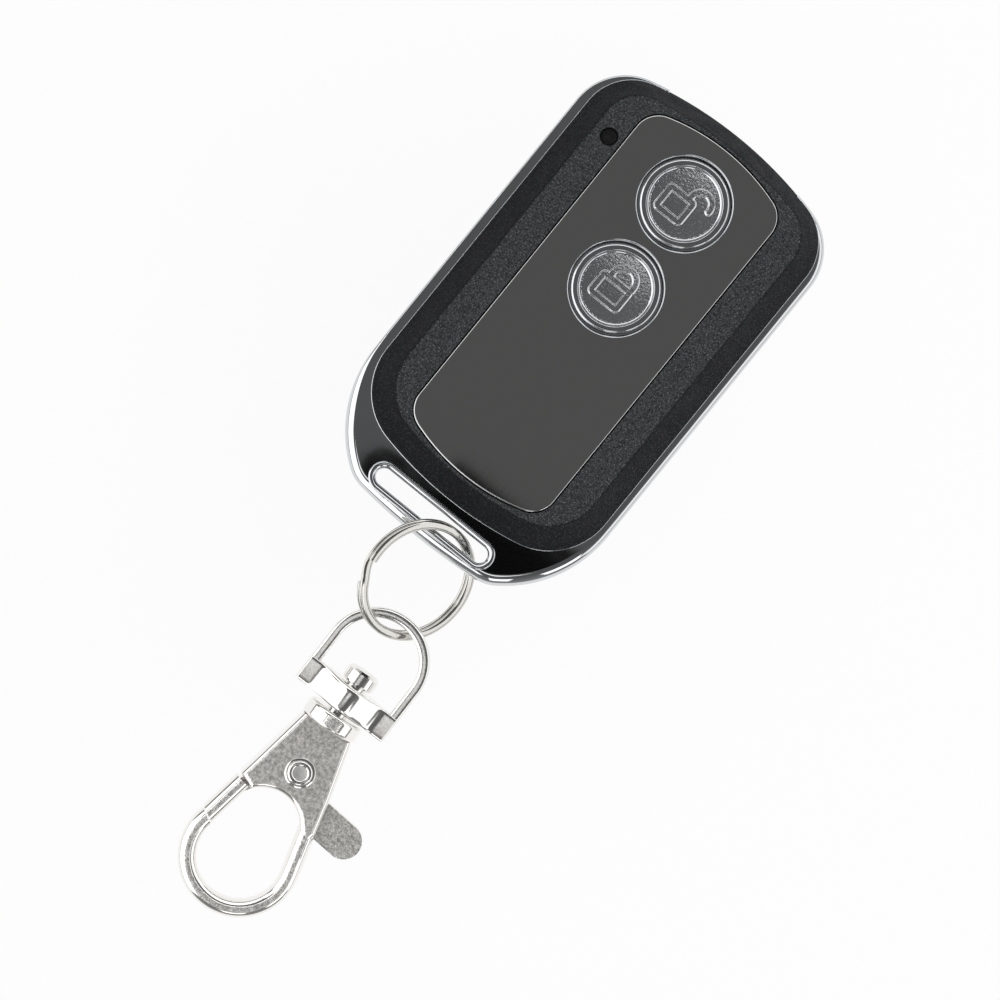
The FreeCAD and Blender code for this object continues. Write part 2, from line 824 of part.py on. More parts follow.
back_cover = new_body("back_cover")
outline_pad(back_cover, "back_wall", COVER, 0.0, s.frame_low)
dress(back_cover, "Chamfer", s.back_chamfer, level(0.0))
outline_pad(
    back_cover, "back_lip", inset(COVER, s.seat_width + s.fit_gap), s.frame_low, LIP_HEIGHT
)
outline_pocket(
    back_cover,
    "back_hollow",
    inset(COVER, SKIRT_INNER),
    s.frame_low + LIP_HEIGHT,
    s.frame_low + LIP_HEIGHT - s.floor_thickness,
)
back_bosses = new_sketch(back_cover, "back_bosses", FLOOR_MIDDLE)
for x, y in SCREW_PLACES:
    draw_circle(back_bosses, x, y, HEAD_HOLE + s.boss_wall / 2)
pad(back_cover, back_bosses, BOSS_MEETING - FLOOR_MIDDLE - s.fit_gap)
back_posts = new_sketch(back_cover, "back_posts", FLOOR_MIDDLE)
for x, y in POST_PLACES:
    draw_circle(back_posts, x, y, s.post_radius)
pad(back_cover, back_posts, BOARD_LOW - FLOOR_MIDDLE)
screw_holes = new_sketch(back_cover, "screw_holes", BOSS_MEETING)
for x, y in SCREW_PLACES:
    draw_circle(screw_holes, x, y, SCREW_HOLE)
pocket(back_cover, screw_holes, BOSS_MEETING)
head_holes = new_sketch(back_cover, "head_holes", SCREW_SEAT)
for x, y in SCREW_PLACES:
    draw_circle(head_holes, x, y, HEAD_HOLE)
pocket(back_cover, head_holes, SCREW_SEAT)


# Chrome frame

chrome_frame = new_body("chrome_frame")
frame_sketch = new_sketch(chrome_frame, "frame_outline", s.frame_low)
draw_outline(frame_sketch, FRAME, s.frame_foot_blend, s.frame_foot_drop)
pad(chrome_frame, frame_sketch, s.frame_thickness)
dress(
    chrome_frame,
    "Fillet",
    s.frame_rounding,
    lambda edge: level(n.frame_low)(edge) or level(FRAME_HIGH.number)(edge),
)
slot = new_sketch(chrome_frame, "slot", FRAME_HIGH)
draw_slot(slot, SLOT_Y, s.slot_length, s.slot_width)
pocket(chrome_frame, slot, s.frame_thickness)


def slot_rim(edge):
    flat = level(n.frame_low)(edge) or level(FRAME_HIGH.number)(edge)
    reach = n.slot_width / 2 + NEAR
    box = edge.BoundBox
    return flat and box.YMin > SLOT_Y.number - reach and box.YMax < SLOT_Y.number + reach


dress(chrome_frame, "Fillet", s.slot_lip, slot_rim)
outline_pocket(
    chrome_frame,
    "frame_opening",
    inset(COVER, s.seat_width),
    FRAME_HIGH,
    s.frame_thickness,
)
notch = new_sketch(chrome_frame, "notch", FRAME_HIGH)
draw_rectangle(
    notch,
    -s.notch_half_width,
    s.notch_half_width,
    COVER["top"] - SKIRT_INNER,
    s.frame_top + s.notch_step,
)
pocket(chrome_frame, notch, s.frame_thickness)


# Buttons with raised padlock signs


def make_button(name, middle):
    """A dished cap with a flange below that keeps it in its hole, and its raised sign."""
    label = f"{name}_button"
    sign_x, sign_width, shackle_x, shackle_radius, shackle_leg = [
        getattr(s, f"{name}_{part}")
        for part in ("sign_x", "sign_width", "shackle_x", "shackle_radius", "shackle_leg")
    ]
    body = new_body(label)
    flange = new_sketch(body, f"{label}_flange", FLANGE_LOW)
    draw_circle(flange, 0.0, middle, s.button_radius + s.button_flange)
    pad(body, flange, s.flange_thickness)
    cap = new_sketch(body, f"{label}_cap", ROOF)
    draw_circle(cap, 0.0, middle, s.button_radius)
    pad(body, cap, BUTTON_TOP - ROOF)
    dress(body, "Fillet", s.button_rounding, level(BUTTON_TOP.number))
    dish = new_sketch(body, f"{label}_dish", BUTTON_TOP)
    draw_circle(dish, 0.0, middle, s.button_dish_radius)
    pocket(body, dish, s.button_dish_depth)
    left = sign_x - sign_width / 2
    right = sign_x + sign_width / 2
    low = middle - s.sign_drop
    high = low + s.sign_height
    frame = new_sketch(body, f"{label}_sign", BUTTON_FACE)
    draw_rectangle(frame, left, right, low, high)
    draw_rectangle(
        frame, left + s.sign_line, right - s.sign_line, low + s.sign_line, high - s.sign_line
    )
    pad(body, frame, s.sign_rise)
    shackle = new_sketch(body, f"{label}_shackle", BUTTON_FACE)
    foot = high - s.shackle_sink
    draw_shackle(shackle, shackle_x, foot, shackle_leg, shackle_radius, s.shackle_line)
    pad(body, shackle, s.sign_rise)


for name, y in BUTTONS:
    make_button(name, y)


# Circuit board and its parts

board = new_body("circuit_board")
board_sketch = new_sketch(board, "board_outline", BOARD_LOW)
draw_rectangle(board_sketch, -BOARD_HALF, BOARD_HALF, BOARD_FOOT, BOARD_TOP)
pad(board, board_sketch, s.board_thickness)
dress(
    board,
    "Fillet",
    s.board_corner,
    lambda edge: edge.BoundBox.ZLength > n.board_thickness / 2,
)


def set_place(thing, x, y, z):
    for axis, size in zip("xyz", (x, y, z)):
        bind(thing, f"Placement.Base.{axis}", size)


def box(name, x, y, z, length, width, height):
    """A block centred on x and y, standing on z."""
    block = doc.addObject("Part::Box", name)
    bind(block, "Length", length)
    bind(block, "Width", width)
    bind(block, "Height", height)
    set_place(block, formula(x) - formula(length) / 2, formula(y) - formula(width) / 2, z)
    return block


def cylinder(name, x, y, z, radius, height):
    rod = doc.addObject("Part::Cylinder", name)
    bind(rod, "Radius", radius)
    bind(rod, "Height", height)
    set_place(rod, x, y, z)
    return rod


def cut(name, base, tool):
    feature = doc.addObject("Part::Cut", name)
    feature.Base = base
    feature.Tool = tool
    return feature


def group(name, items):
    """Several solids in one node."""
    compound = doc.addObject("Part::Compound", name)
    compound.Links = items
    return compound


def fuse(name, items):
    feature = doc.addObject("Part::MultiFuse", name)
    feature.Shapes = items
    feature.Refine = True
    return feature


for name, y in BUTTONS:
    case = box(f"{name}_case", 0.0, y, BOARD_HIGH, s.switch_side, s.switch_side, s.switch_height)
    bore = cylinder(
        f"{name}_bore",
        0.0,
        y,
        BOARD_HIGH + s.switch_base,
        s.plunger_radius + s.plunger_gap,
        s.switch_height,
    )
    keep(cut(f"{name}_housing", case, bore), f"{name}_switch_housing")
    plunger_low = BOARD_HIGH + s.switch_base + s.button_travel + s.plunger_spare
    plunger = cylinder(
        f"{name}_plunger", 0.0, y, plunger_low, s.plunger_radius, FLANGE_LOW - plunger_low
    )
    keep(plunger, f"{name}_switch_plunger")

led = box("led_block", LIGHT_X, LIGHT_Y, BOARD_HIGH, s.led_side, s.led_side, s.led_thickness)
keep(led, "status_led")
GUIDE_LOW = BOARD_HIGH + s.led_thickness
GUIDE_TOP = s.rim_height - s.guide_drop
guide = cylinder("guide_rod", LIGHT_X, LIGHT_Y, GUIDE_LOW, s.guide_radius, GUIDE_TOP - GUIDE_LOW)
keep(guide, "light_guide")


def board_block(name, part, x, y):
    """A part of the board, whose three sizes carry its name in the sheet."""
    length, width, height = [getattr(s, f"{part}_{size}") for size in ("length", "width", "height")]
    return box(name, x, y, BOARD_HIGH, length, width, height)


keep(board_block("chip", "encoder", s.encoder_x, s.encoder_y), "encoder_chip")
resonator_y = ANTENNA_TOP + s.resonator_gap + s.resonator_width / 2
keep(board_block("filter", "resonator", s.resonator_x, resonator_y), "saw_resonator")
transistor_y = ANTENNA_TOP + s.transistor_gap + s.transistor_width / 2
keep(board_block("amplifier", "transistor", s.transistor_x, transistor_y), "rf_transistor")
small_parts = []
for index in range(4):
    x = s.resistor_x + s.resistor_pitch * index
    small_parts.append(board_block(f"resistor_{index}", "resistor", x, s.resistor_y))
    y = s.capacitor_y + s.capacitor_pitch * index
    small_parts.append(board_block(f"capacitor_{index}", "capacitor", s.capacitor_x, y))
keep(group("small_parts", small_parts), "chip_components")

antenna_half = BOARD_HALF - s.antenna_inset - s.post_radius * 2
antenna_sizes = (antenna_half * 2, s.antenna_length)
antenna_plate, antenna_window = [
    box(
        name,
        0.0,
        ANTENNA_FOOT + s.antenna_length / 2,
        BOARD_HIGH,
        *[size - margin for size in antenna_sizes],
        s.antenna_thickness,
    )
    for name, margin in (("antenna_plate", 0.0), ("antenna_window", s.antenna_line * 2))
]
keep(cut("antenna", antenna_plate, antenna_window), "loop_antenna")


# Battery with its two contacts under the board

keep(cylinder("cell", 0.0, s.cell_y, CELL_LOW, s.cell_radius, s.cell_thickness), "coin_cell")
CLIP_REACH = s.cell_radius + s.fit_gap
clip_floor = box(
    "clip_floor",
    0.0,
    s.cell_y,
    CELL_LOW - s.contact_thickness,
    (CLIP_REACH + s.contact_thickness) * 2,
    s.contact_width,
    s.contact_thickness,
)
clip_legs = [
    box(
        f"clip_leg_{name}",
        (CLIP_REACH + s.contact_thickness / 2) * side,
        s.cell_y,
        CELL_LOW,
        s.contact_thickness,
        s.contact_width,
        BOARD_LOW - CELL_LOW,
    )
    for name, side in (("right", 1), ("left", -1))
]
keep(fuse("clip", [clip_floor, *clip_legs]), "battery_clip")
keep(
    box("contact", 0.0, s.cell_y, CELL_TOP, s.contact_width, s.contact_width, BOARD_LOW - CELL_TOP),
    "battery_contact",
)

screws = []
for name, (x, y) in zip(("right", "left"), SCREW_PLACES):
    head = cylinder(
        f"{name}_head", x, y, s.screw_head_depth, s.screw_head_radius, s.screw_head_thickness
    )
    shank = cylinder(f"{name}_shank", x, y, SCREW_SEAT, s.screw_radius, s.screw_length)
    cross = (s.screw_cross_length, s.screw_cross_width)
    slots = [
        box(f"{name}_cross_{index}", x, y, s.screw_head_depth, *sides, s.screw_cross_depth)
        for index, sides in enumerate((cross, cross[::-1]))
    ]
    screws.append(
        cut(f"{name}_screw", fuse(f"{name}_blank", [head, shank]), fuse(f"{name}_cross", slots))
    )
keep(group("screws", screws), "case_screws")


# Split ring: two level turns of flat wire and one short step between them


def wire_section(radius, height):
    """The wire's eight-sided section, in the plane of the X and Z axes."""
    wide = n.ring_wire_width / 2
    tall = n.ring_wire_thickness / 2
    nip = n.ring_wire_bevel
    corners = [
        (wide, nip - tall),
        (wide, tall - nip),
        (wide - nip, tall),
        (nip - wide, tall),
        (-wide, tall - nip),
        (-wide, nip - tall),
        (nip - wide, -tall),
        (wide - nip, -tall),
    ]
    points = [vector(radius + x, 0, height + z) for x, z in corners]
    return Part.makePolygon(points + points[:1])


def turned(shape, angle):
    copy = shape.copy()
    copy.rotate(vector(0, 0, 0), UP, angle)
    return copy


def make_ring():
    radius = n.ring_outer_radius - n.ring_wire_width / 2
    lift = (n.ring_wire_thickness + n.ring_turn_gap) / 2
    half = n.ring_step_half_angle
    span = math.degrees(2 * math.pi) - 2 * half
    turns = []
    for height in (-lift, lift):
        face = Part.Face(turned(wire_section(radius, height), half))
        turns.append(face.revolve(vector(0, 0, 0), UP, span))
    steps = 6
    sections = []
    for index in range(steps + 1):
        share = index / steps
        ease = share * share * (3 - 2 * share)
        height = lift * (2 * ease - 1)
        sections.append(turned(wire_section(radius, height), -half + 2 * half * share))
    step = Part.makeLoft(sections, True, True)
    return turns[0].fuse([step, turns[1]])


def lay(x, y, z, yaw, pitch, roll):
    """Placement of a piece that is rolled about Y, pitched about X, then turned about Z."""
    rotation = (
        FreeCAD.Rotation(vector(0, 0, 1), yaw)
        * FreeCAD.Rotation(vector(1, 0, 0), pitch)
        * FreeCAD.Rotation(vector(0, 1, 0), roll)
    )
    return FreeCAD.Placement(vector(x, y, z), rotation)


RING_MEAN = n.ring_outer_radius - n.ring_wire_width / 2
RING_Y = SLOT_Y.number - RING_MEAN + n.ring_shift
RING_Z = n.frame_low + n.frame_thickness / 2

split_ring = doc.addObject("Part::Feature", "ring")
split_ring.Shape = make_ring()
ring_bearing = FreeCAD.Placement(
    vector(0, 0, 0), FreeCAD.Rotation(UP, n.ring_step_bearing)
)
split_ring.Placement = lay(n.ring_x, RING_Y, RING_Z, 0, 0, n.ring_tilt) * ring_bearing
keep(split_ring, "split_ring")


# Swivel yoke, in its own frame: Y along the swivel axis, Z out of its plane.
# It hangs a little askew on its pin, so only its bore follows the axis exactly.


def solid_rod(start, direction, radius, height):
    return Part.makeCylinder(radius, height, start, direction)


ALONG = vector(0, 1, 0)
DOWN = vector(0, -1, 0)


def stadium(half_width, straight, low):
    """An arch outline: a half circle on two straight sides, closed by a line at the level low."""
    top = vector(0, straight + half_width)
    left, right = vector(-half_width, straight), vector(half_width, straight)
    left_foot, right_foot = vector(-half_width, low), vector(half_width, low)
    edges = [
        Part.LineSegment(right_foot, right),
        Part.Arc(right, top, left),
        Part.LineSegment(left, left_foot),
        Part.LineSegment(left_foot, right_foot),
    ]
    return Part.Wire([edge.toShape() for edge in edges])


def slab(wire, thickness):
    """A flat outline made into a plate that is centred on its own plane."""
    face = Part.Face(wire)
    face.translate(vector(0, 0, -thickness / 2))
    return face.extrude(vector(0, 0, thickness))


def flat_edges(solid, thickness):
    """The edges round both flat faces of a plate."""
    return [
        edge
        for edge in solid.Edges
        if edge.BoundBox.ZLength < NEAR
        and abs(abs(edge.BoundBox.ZMin) - thickness / 2) < NEAR
    ]


def make_crossbar():
    """A flat bar through a round boss, both blended, as a section carried along the axis."""
    bar = Part.makeBox(
        2 * n.yoke_half_width,
        n.crossbar_height,
        n.crossbar_depth,
        vector(-n.yoke_half_width, -n.crossbar_height, -n.crossbar_depth / 2),
    )
    ends = [edge for edge in bar.Edges if edge.BoundBox.XLength < NEAR]
    bar = bar.makeFillet(n.crossbar_rounding, ends)
    boss = solid_rod(vector(0, 0), DOWN, n.boss_radius, n.crossbar_height)
    meeting = math.sqrt(n.boss_radius**2 - (n.crossbar_depth / 2) ** 2)
    joined = bar.fuse(boss).removeSplitter()
    corners = [
        edge
        for edge in joined.Edges
        if edge.BoundBox.XLength < NEAR
        and edge.BoundBox.ZLength < NEAR
        and abs(abs(edge.BoundBox.XMin) - meeting) < NEAR
    ]
    joined = joined.makeFillet(n.boss_blend, corners)
    rims = [
        edge
        for edge in joined.Edges
        if edge.BoundBox.YLength < NEAR
        and isinstance(edge.Curve, Part.Circle)
        and abs(edge.Curve.Radius - n.boss_radius) < NEAR
    ]
    return joined.makeFillet(n.boss_rounding, rims)


def make_yoke():
    straight = n.yoke_reach - n.yoke_half_width
    root = -n.crossbar_height / 2
    arch = slab(stadium(n.yoke_half_width, straight, root), n.yoke_depth)
    window = slab(stadium(n.yoke_half_width - n.yoke_wire, straight, root), n.yoke_depth)
    arch = arch.cut(window)
    rounded = [edge for edge in flat_edges(arch, n.yoke_depth) if edge.BoundBox.YLength > NEAR]
    arch = arch.makeFillet(n.yoke_rounding, rounded)
    bore = solid_rod(
        vector(0, PAST), DOWN, n.pin_radius + n.pin_fit, n.crossbar_height + 2 * PAST
    )
    whole = make_crossbar().fuse(arch)
    whole.rotate(vector(0, root), UP, n.yoke_lean)
    return whole.cut(bore).removeSplitter()


HOOK_Y = RING_Y - RING_MEAN + n.ring_wire_width / 2 + n.yoke_slack + n.yoke_wire - n.yoke_reach
HOOK_Z = RING_Z - n.hook_drop
yoke_place = lay(n.hook_x, HOOK_Y, HOOK_Z, n.hook_yaw, n.hook_pitch, n.yoke_roll)
hook_place = lay(n.hook_x, HOOK_Y, HOOK_Z, n.hook_yaw, n.hook_pitch, n.hook_roll)

yoke = doc.addObject("Part::Feature", "yoke")
yoke.Shape = make_yoke()
yoke.Placement = yoke_place
keep(yoke, "swivel_yoke")


# Swivel pin, riveted into the collar below the crossbar

COLLAR_TOP = -n.crossbar_height - n.collar_play
COLLAR_LOW = COLLAR_TOP - n.collar_height
PIN_LOW = COLLAR_LOW + n.pin_end_wall


def make_pin():
    head_low = n.pin_play
    head_top = head_low + n.pin_head_height
    points = [
        vector(0, PIN_LOW),
        vector(n.pin_radius, PIN_LOW),
        vector(n.pin_radius, head_low),
        vector(n.pin_head_radius - n.pin_head_bevel, head_low),
        vector(n.pin_head_radius, head_low + n.pin_head_bevel),
        vector(n.pin_head_radius, head_top - n.pin_head_bevel),
        vector(n.pin_head_radius - n.pin_head_bevel, head_top),
        vector(n.pin_head_well, head_top - n.pin_head_dish),
        vector(0, head_top - n.pin_head_dish),
    ]
    profile = Part.Face(Part.makePolygon(points + points[:1]))
    return profile.revolve(vector(0, 0), ALONG, 360)


pin = doc.addObject("Part::Feature", "pin")
pin.Shape = make_pin()
pin.Placement = hook_place
keep(pin, "swivel_pin")


# Hook and gate, drawn in the plane of the hook and given an even thickness

PIVOT = vector(n.rivet_x, n.rivet_y)
LOOP = vector(n.loop_x, n.loop_y)


def polygon(points):
    return Part.makePolygon(points + points[:1])


def soften(solid, size, thickness, chosen):
    """Rounds those edges round both flat faces of a plate that pass a test."""
    return solid.makeFillet(size, [edge for edge in flat_edges(solid, thickness) if chosen(edge)])


def lobe(first, first_radius, second, second_radius):
    """The outline of two circles and their outer tangents, as a face."""
    gap = second - first
    lean = math.acos((first_radius - second_radius) / gap.Length)
    heading = math.atan2(gap.y, gap.x)

    def rim(centre, radius, angle):
        return centre + vector(math.cos(angle), math.sin(angle)) * radius

    left, right = heading + lean, heading - lean
    edges = [
        Part.LineSegment(rim(first, first_radius, right), rim(second, second_radius, right)),
        Part.Arc(
            rim(second, second_radius, right),
            rim(second, second_radius, heading),
            rim(second, second_radius, left),
        ),
        Part.LineSegment(rim(second, second_radius, left), rim(first, first_radius, left)),
        Part.Arc(
            rim(first, first_radius, left),
            rim(first, first_radius, heading + math.pi),
            rim(first, first_radius, right),
        ),
    ]
    return Part.Wire([edge.toShape() for edge in edges])


GATE_ROOT = vector(n.gate_root_x, n.gate_root_y)
GATE_TIP = vector(n.gate_tip_x, n.gate_tip_y)
TAB_ROOT = vector(n.tab_root_x, n.tab_root_y)
TAB = vector(n.tab_x, n.tab_y)


def gate_arm(grow, thickness):
    """The straight bar of the gate, from the body to the hook's nose."""
    direction = (GATE_TIP - GATE_ROOT).normalize()
    side = vector(-direction.y, direction.x) * (n.gate_width / 2 + grow)
    start = GATE_ROOT - direction * grow
    end = GATE_TIP + direction * grow
    slant = direction * n.gate_slant
    return slab(
        polygon([start + side, start - side, end - side - slant, end + side + slant]), thickness
    )


def lever_web(grow, thickness):
    """The thin inner plate: hub, tab root and the web that carries the gate arm."""
    hub = n.lever_hub_radius + grow
    width = n.tab_radius + grow
    tab = slab(lobe(TAB_ROOT, width, TAB, width), thickness)
    arm_end = GATE_ROOT + (GATE_TIP - GATE_ROOT).normalize() * n.web_reach
    arm = slab(lobe(PIVOT, hub, arm_end, n.web_end_radius + grow), thickness)
    return tab.fuse(arm)


def turned_lever(shape, angle):
    copy = shape.copy()
    copy.rotate(PIVOT, UP, angle)
    return copy


def through_hole(radius, thickness):
    """A cutter for a hole round the rivet, right through a plate."""
    height = thickness + 2 * PAST
    return Part.makeCylinder(radius, height, PIVOT - UP * height / 2, UP)


ARCH = vector(n.arch_x, n.arch_y)


def body_outline():
    """The hook's body: straight flanks, and an arch over the loop's opening between two heels."""

    def arch(angle):
        turn = math.radians(angle)
        return ARCH + vector(math.cos(turn), math.sin(turn)) * n.arch_radius

    corners = [
        vector(n.body_tip_x, n.body_tip_y),
        vector(n.body_foot_half, n.body_foot_y),
        vector(n.body_waist_right, n.body_waist_y),
        vector(n.body_neck_half, COLLAR_LOW),
        vector(-n.body_neck_half, COLLAR_LOW),
        vector(-n.body_waist_left, n.body_waist_y),
        vector(-n.body_heel_half, n.body_heel_y),
        arch(n.arch_left),
    ]
    crown = Part.Arc(corners[-1], arch((n.arch_left + n.arch_right) / 2), arch(n.arch_right))
    path = Part.makePolygon([arch(n.arch_right)] + corners)
    return Part.Wire([*path.Edges, crown.toShape()])


# steps in which the gate's travel is cut out of the hook
SWEEP_STEPS = 8


def make_hook():
    plate = slab(body_outline(), n.body_thickness)
    plate = soften(
        plate, n.body_rounding, n.body_thickness, lambda edge: edge.CenterOfMass.y < COLLAR_LOW - NEAR
    )
    collar = solid_rod(vector(0, COLLAR_TOP), DOWN, n.collar_radius, n.collar_height)
    rims = [edge for edge in collar.Edges if isinstance(edge.Curve, Part.Circle)]
    collar = collar.makeFillet(n.collar_rounding, rims)
    bore = solid_rod(
        vector(0, COLLAR_TOP + PAST), DOWN, n.pin_radius, COLLAR_TOP + PAST - PIN_LOW
    )
    inner = n.loop_outer_radius - n.loop_wire
    nose = math.radians(n.nose_bearing)

    def rim(radius, angle):
        return LOOP + vector(math.cos(angle), math.sin(angle)) * radius

    def leaves(radius, point):
        """Bearing at which a circle round the loop's centre is left by its tangent to a point."""
        gap = point - LOOP
        return math.atan2(gap.y, gap.x) - math.acos(radius / gap.Length)

    shoulder_out = vector(n.shoulder_half, n.shoulder_y)
    shoulder_in = vector(n.shoulder_half - n.shoulder_width, n.shoulder_y)
    outer_start = rim(n.loop_outer_radius, leaves(n.loop_outer_radius, shoulder_out))
    inner_start = rim(inner, leaves(inner, shoulder_in))
    loop_edges = [
        Part.LineSegment(shoulder_out, outer_start),
        Part.Arc(
            outer_start,
            rim(n.loop_outer_radius, math.radians(-90)),
            rim(n.loop_outer_radius, nose - 2 * math.pi),
        ),
        Part.LineSegment(rim(n.loop_outer_radius, nose), rim(inner, nose - n.nose_slant)),
        Part.Arc(rim(inner, nose - n.nose_slant), rim(inner, math.radians(-90)), inner_start),
        Part.LineSegment(inner_start, shoulder_in),
        Part.LineSegment(shoulder_in, shoulder_out),
    ]
    loop = slab(Part.Wire([edge.toShape() for edge in loop_edges]), n.loop_thickness)
    loop = soften(
        loop,
        n.loop_rounding,
        n.loop_thickness,
        lambda edge: edge.Length > n.loop_thickness and edge.CenterOfMass.y < n.shoulder_y - NEAR,
    )
    hook = plate.fuse([collar, loop])
    room = n.lever_thickness + 2 * n.lever_gap
    web = lever_web(n.lever_gap, room)
    arm = gate_arm(n.gate_gap, n.body_thickness + 2 * PAST)
    swept = []
    for step in range(SWEEP_STEPS + 1):
        angle = n.gate_travel * step / SWEEP_STEPS
        swept += [turned_lever(web, angle), turned_lever(arm, angle)]
    rivet_hole = through_hole(n.rivet_radius + n.rivet_seat_gap, n.body_thickness)
    return hook.cut([bore, rivet_hole, *swept]).removeSplitter()


hook = doc.addObject("Part::Feature", "hook")
hook.Shape = make_hook()
hook.Placement = hook_place
keep(hook, "hook_body")


def make_lever():
    arm = soften(
        gate_arm(0.0, n.loop_thickness),
        n.loop_rounding,
        n.loop_thickness,
        lambda edge: edge.Length > n.loop_thickness,
    )
    half = n.lever_thickness / 2
    opening = Part.makeCylinder(n.arch_radius, n.lever_thickness, ARCH - UP * half, UP)
    lever = lever_web(0.0, n.lever_thickness).cut(opening).fuse(arm)
    hole = through_hole(n.rivet_radius + n.rivet_fit, n.lever_thickness)
    groove = Part.makeCylinder(
        n.spring_radius + n.spring_room,
        n.spring_groove + PAST,
        PIVOT + UP * (half - n.spring_groove),
        UP,
    )
    return lever.cut([hole, groove]).removeSplitter()


lever = doc.addObject("Part::Feature", "lever")
lever.Shape = make_lever()
lever.Placement = hook_place
keep(lever, "gate_lever")


def make_rivet():
    half = n.body_thickness / 2
    flare = n.rivet_flare_height
    points = [
        vector(0, 0, -half - flare + n.rivet_dimple_depth),
        vector(n.rivet_dimple_radius, 0, -half - flare + n.rivet_dimple_depth),
        vector(n.rivet_dimple_radius, 0, -half - flare),
        vector(n.rivet_flare_radius - n.rivet_flare_slope, 0, -half - flare),
        vector(n.rivet_flare_radius, 0, -half),
        vector(n.rivet_radius, 0, -half),
        vector(n.rivet_radius, 0, half),
        vector(n.rivet_flare_radius, 0, half),
        vector(n.rivet_flare_radius - n.rivet_flare_slope, 0, half + flare),
        vector(n.rivet_dimple_radius, 0, half + flare),
        vector(n.rivet_dimple_radius, 0, half + flare - n.rivet_dimple_depth),
        vector(0, 0, half + flare - n.rivet_dimple_depth),
    ]
    profile = Part.Face(polygon(points))
    return profile.revolve(vector(0, 0), UP, 360)


rivet = doc.addObject("Part::Feature", "rivet")
rivet.Shape = make_rivet()
rivet.Placement = hook_place * FreeCAD.Placement(PIVOT, FreeCAD.Rotation())
keep(rivet, "gate_rivet")


def make_spring():
    helix = Part.makeHelix(n.spring_pitch, n.spring_pitch * n.spring_turns, n.spring_radius)
    section = Part.Wire(
        Part.makeCircle(n.spring_wire / 2, vector(n.spring_radius, 0, 0), vector(0, 1, 0))
    )
    return Part.Wire(helix).makePipeShell([section], True, True)


spring = doc.addObject("Part::Feature", "spring")
spring.Shape = make_spring()
spring_low = n.lever_thickness / 2 - n.spring_groove + n.spring_wire
spring.Placement = hook_place * FreeCAD.Placement(PIVOT + UP * spring_low, FreeCAD.Rotation())
keep(spring, "gate_spring")


# Checks, then one STEP file for each sub-part

doc.recompute()
for item in doc.Objects:
    if "Invalid" in item.State or "Error" in item.State:
        raise RuntimeError(f"{item.Name} failed: {item.State}")
for node in NODES:
    if node.Shape.isNull() or not node.Shape.isValid():
        raise RuntimeError(f"{node.Label} has no valid shape")
    print(f"{node.Label:24s} solids {len(node.Shape.Solids)} volume {node.Shape.Volume:9.3f}")

os.makedirs("parts", exist_ok=True)
for node in NODES:
    node.Shape.exportStep(f"parts/{node.Label}.step")
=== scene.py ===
# %% [markdown]
# # A key-fob remote with its split ring and swivel hook
#
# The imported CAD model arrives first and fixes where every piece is. All lengths in
# Blender are metres. The numbers below are written in millimetres, because that is how
# the parts are drawn, and MM turns them to metres at the moment a mesh is made.

# %% Load the frame
import json
import math

import bmesh
import bpy
import numpy as np
from mathutils import Matrix


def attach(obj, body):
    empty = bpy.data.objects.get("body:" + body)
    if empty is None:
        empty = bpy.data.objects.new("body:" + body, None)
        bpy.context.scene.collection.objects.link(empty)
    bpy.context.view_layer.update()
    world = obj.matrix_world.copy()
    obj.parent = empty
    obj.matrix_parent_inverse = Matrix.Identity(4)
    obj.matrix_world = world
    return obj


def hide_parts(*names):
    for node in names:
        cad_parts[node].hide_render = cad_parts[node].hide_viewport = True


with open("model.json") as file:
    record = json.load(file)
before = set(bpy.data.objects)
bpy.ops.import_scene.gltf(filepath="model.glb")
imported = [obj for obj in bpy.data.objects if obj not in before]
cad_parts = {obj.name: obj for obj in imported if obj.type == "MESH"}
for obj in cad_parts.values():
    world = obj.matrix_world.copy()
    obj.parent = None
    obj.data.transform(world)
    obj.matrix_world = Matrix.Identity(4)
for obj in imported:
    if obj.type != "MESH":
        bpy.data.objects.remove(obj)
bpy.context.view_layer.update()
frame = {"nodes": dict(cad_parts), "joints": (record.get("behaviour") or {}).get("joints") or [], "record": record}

MM = 0.001
scene = bpy.context.scene
nodes = frame["nodes"]

# %% [markdown]
# ## The camera
#
# The photograph looks straight down with a long lens, so the sides of the fob hardly
# show. The remote lies turned by 39.1 degrees, which is done here by rolling the camera
# instead, because the CAD frame stays square to the fob. A 200 mm lens at about 0.63 m
# spans 112.7 mm at the object.

# %% Camera
VIEW_TURN = math.radians(39.1)
VIEW_SPAN = 112.74
LENS = 200.0
SENSOR = 36.0
VIEW_MIDDLE = (4.88, -19.91, 8.0)
view_distance = VIEW_SPAN * LENS / SENSOR


def new_object(name, data):
    """An object that shows this data, in the scene."""
    made = bpy.data.objects.new(name, data)
    scene.collection.objects.link(made)
    return made


camera_data = bpy.data.cameras.new("camera")
camera_data.lens = LENS
camera_data.sensor_width = SENSOR
camera = new_object("camera", camera_data)
camera.location = [c * MM for c in (*VIEW_MIDDLE[:2], VIEW_MIDDLE[2] + view_distance)]
camera.rotation_euler = (0.0, 0.0, VIEW_TURN)
scene.camera = camera
scene.view_settings.view_transform = "Standard"
image_right = np.array([math.cos(VIEW_TURN), math.sin(VIEW_TURN), 0.0])
image_up = np.array([-math.sin(VIEW_TURN), math.cos(VIEW_TURN), 0.0])
print("camera stands", round(view_distance), "mm above the fob")

# %% [markdown]
# ## Surfaces from arrays
#
# Each new piece is worked out as a grid of points: one direction of the grid runs round
# the piece, the other follows a profile across it. Whole arrays are computed at once, and
# only the finished grid becomes a mesh. Points that coincide, such as those at a pole, are
# merged, and then all the faces are turned outwards.

# %% Grids to meshes
SHARP_ANGLE = 30.0
MERGE_WITHIN = 1e-7  # metres


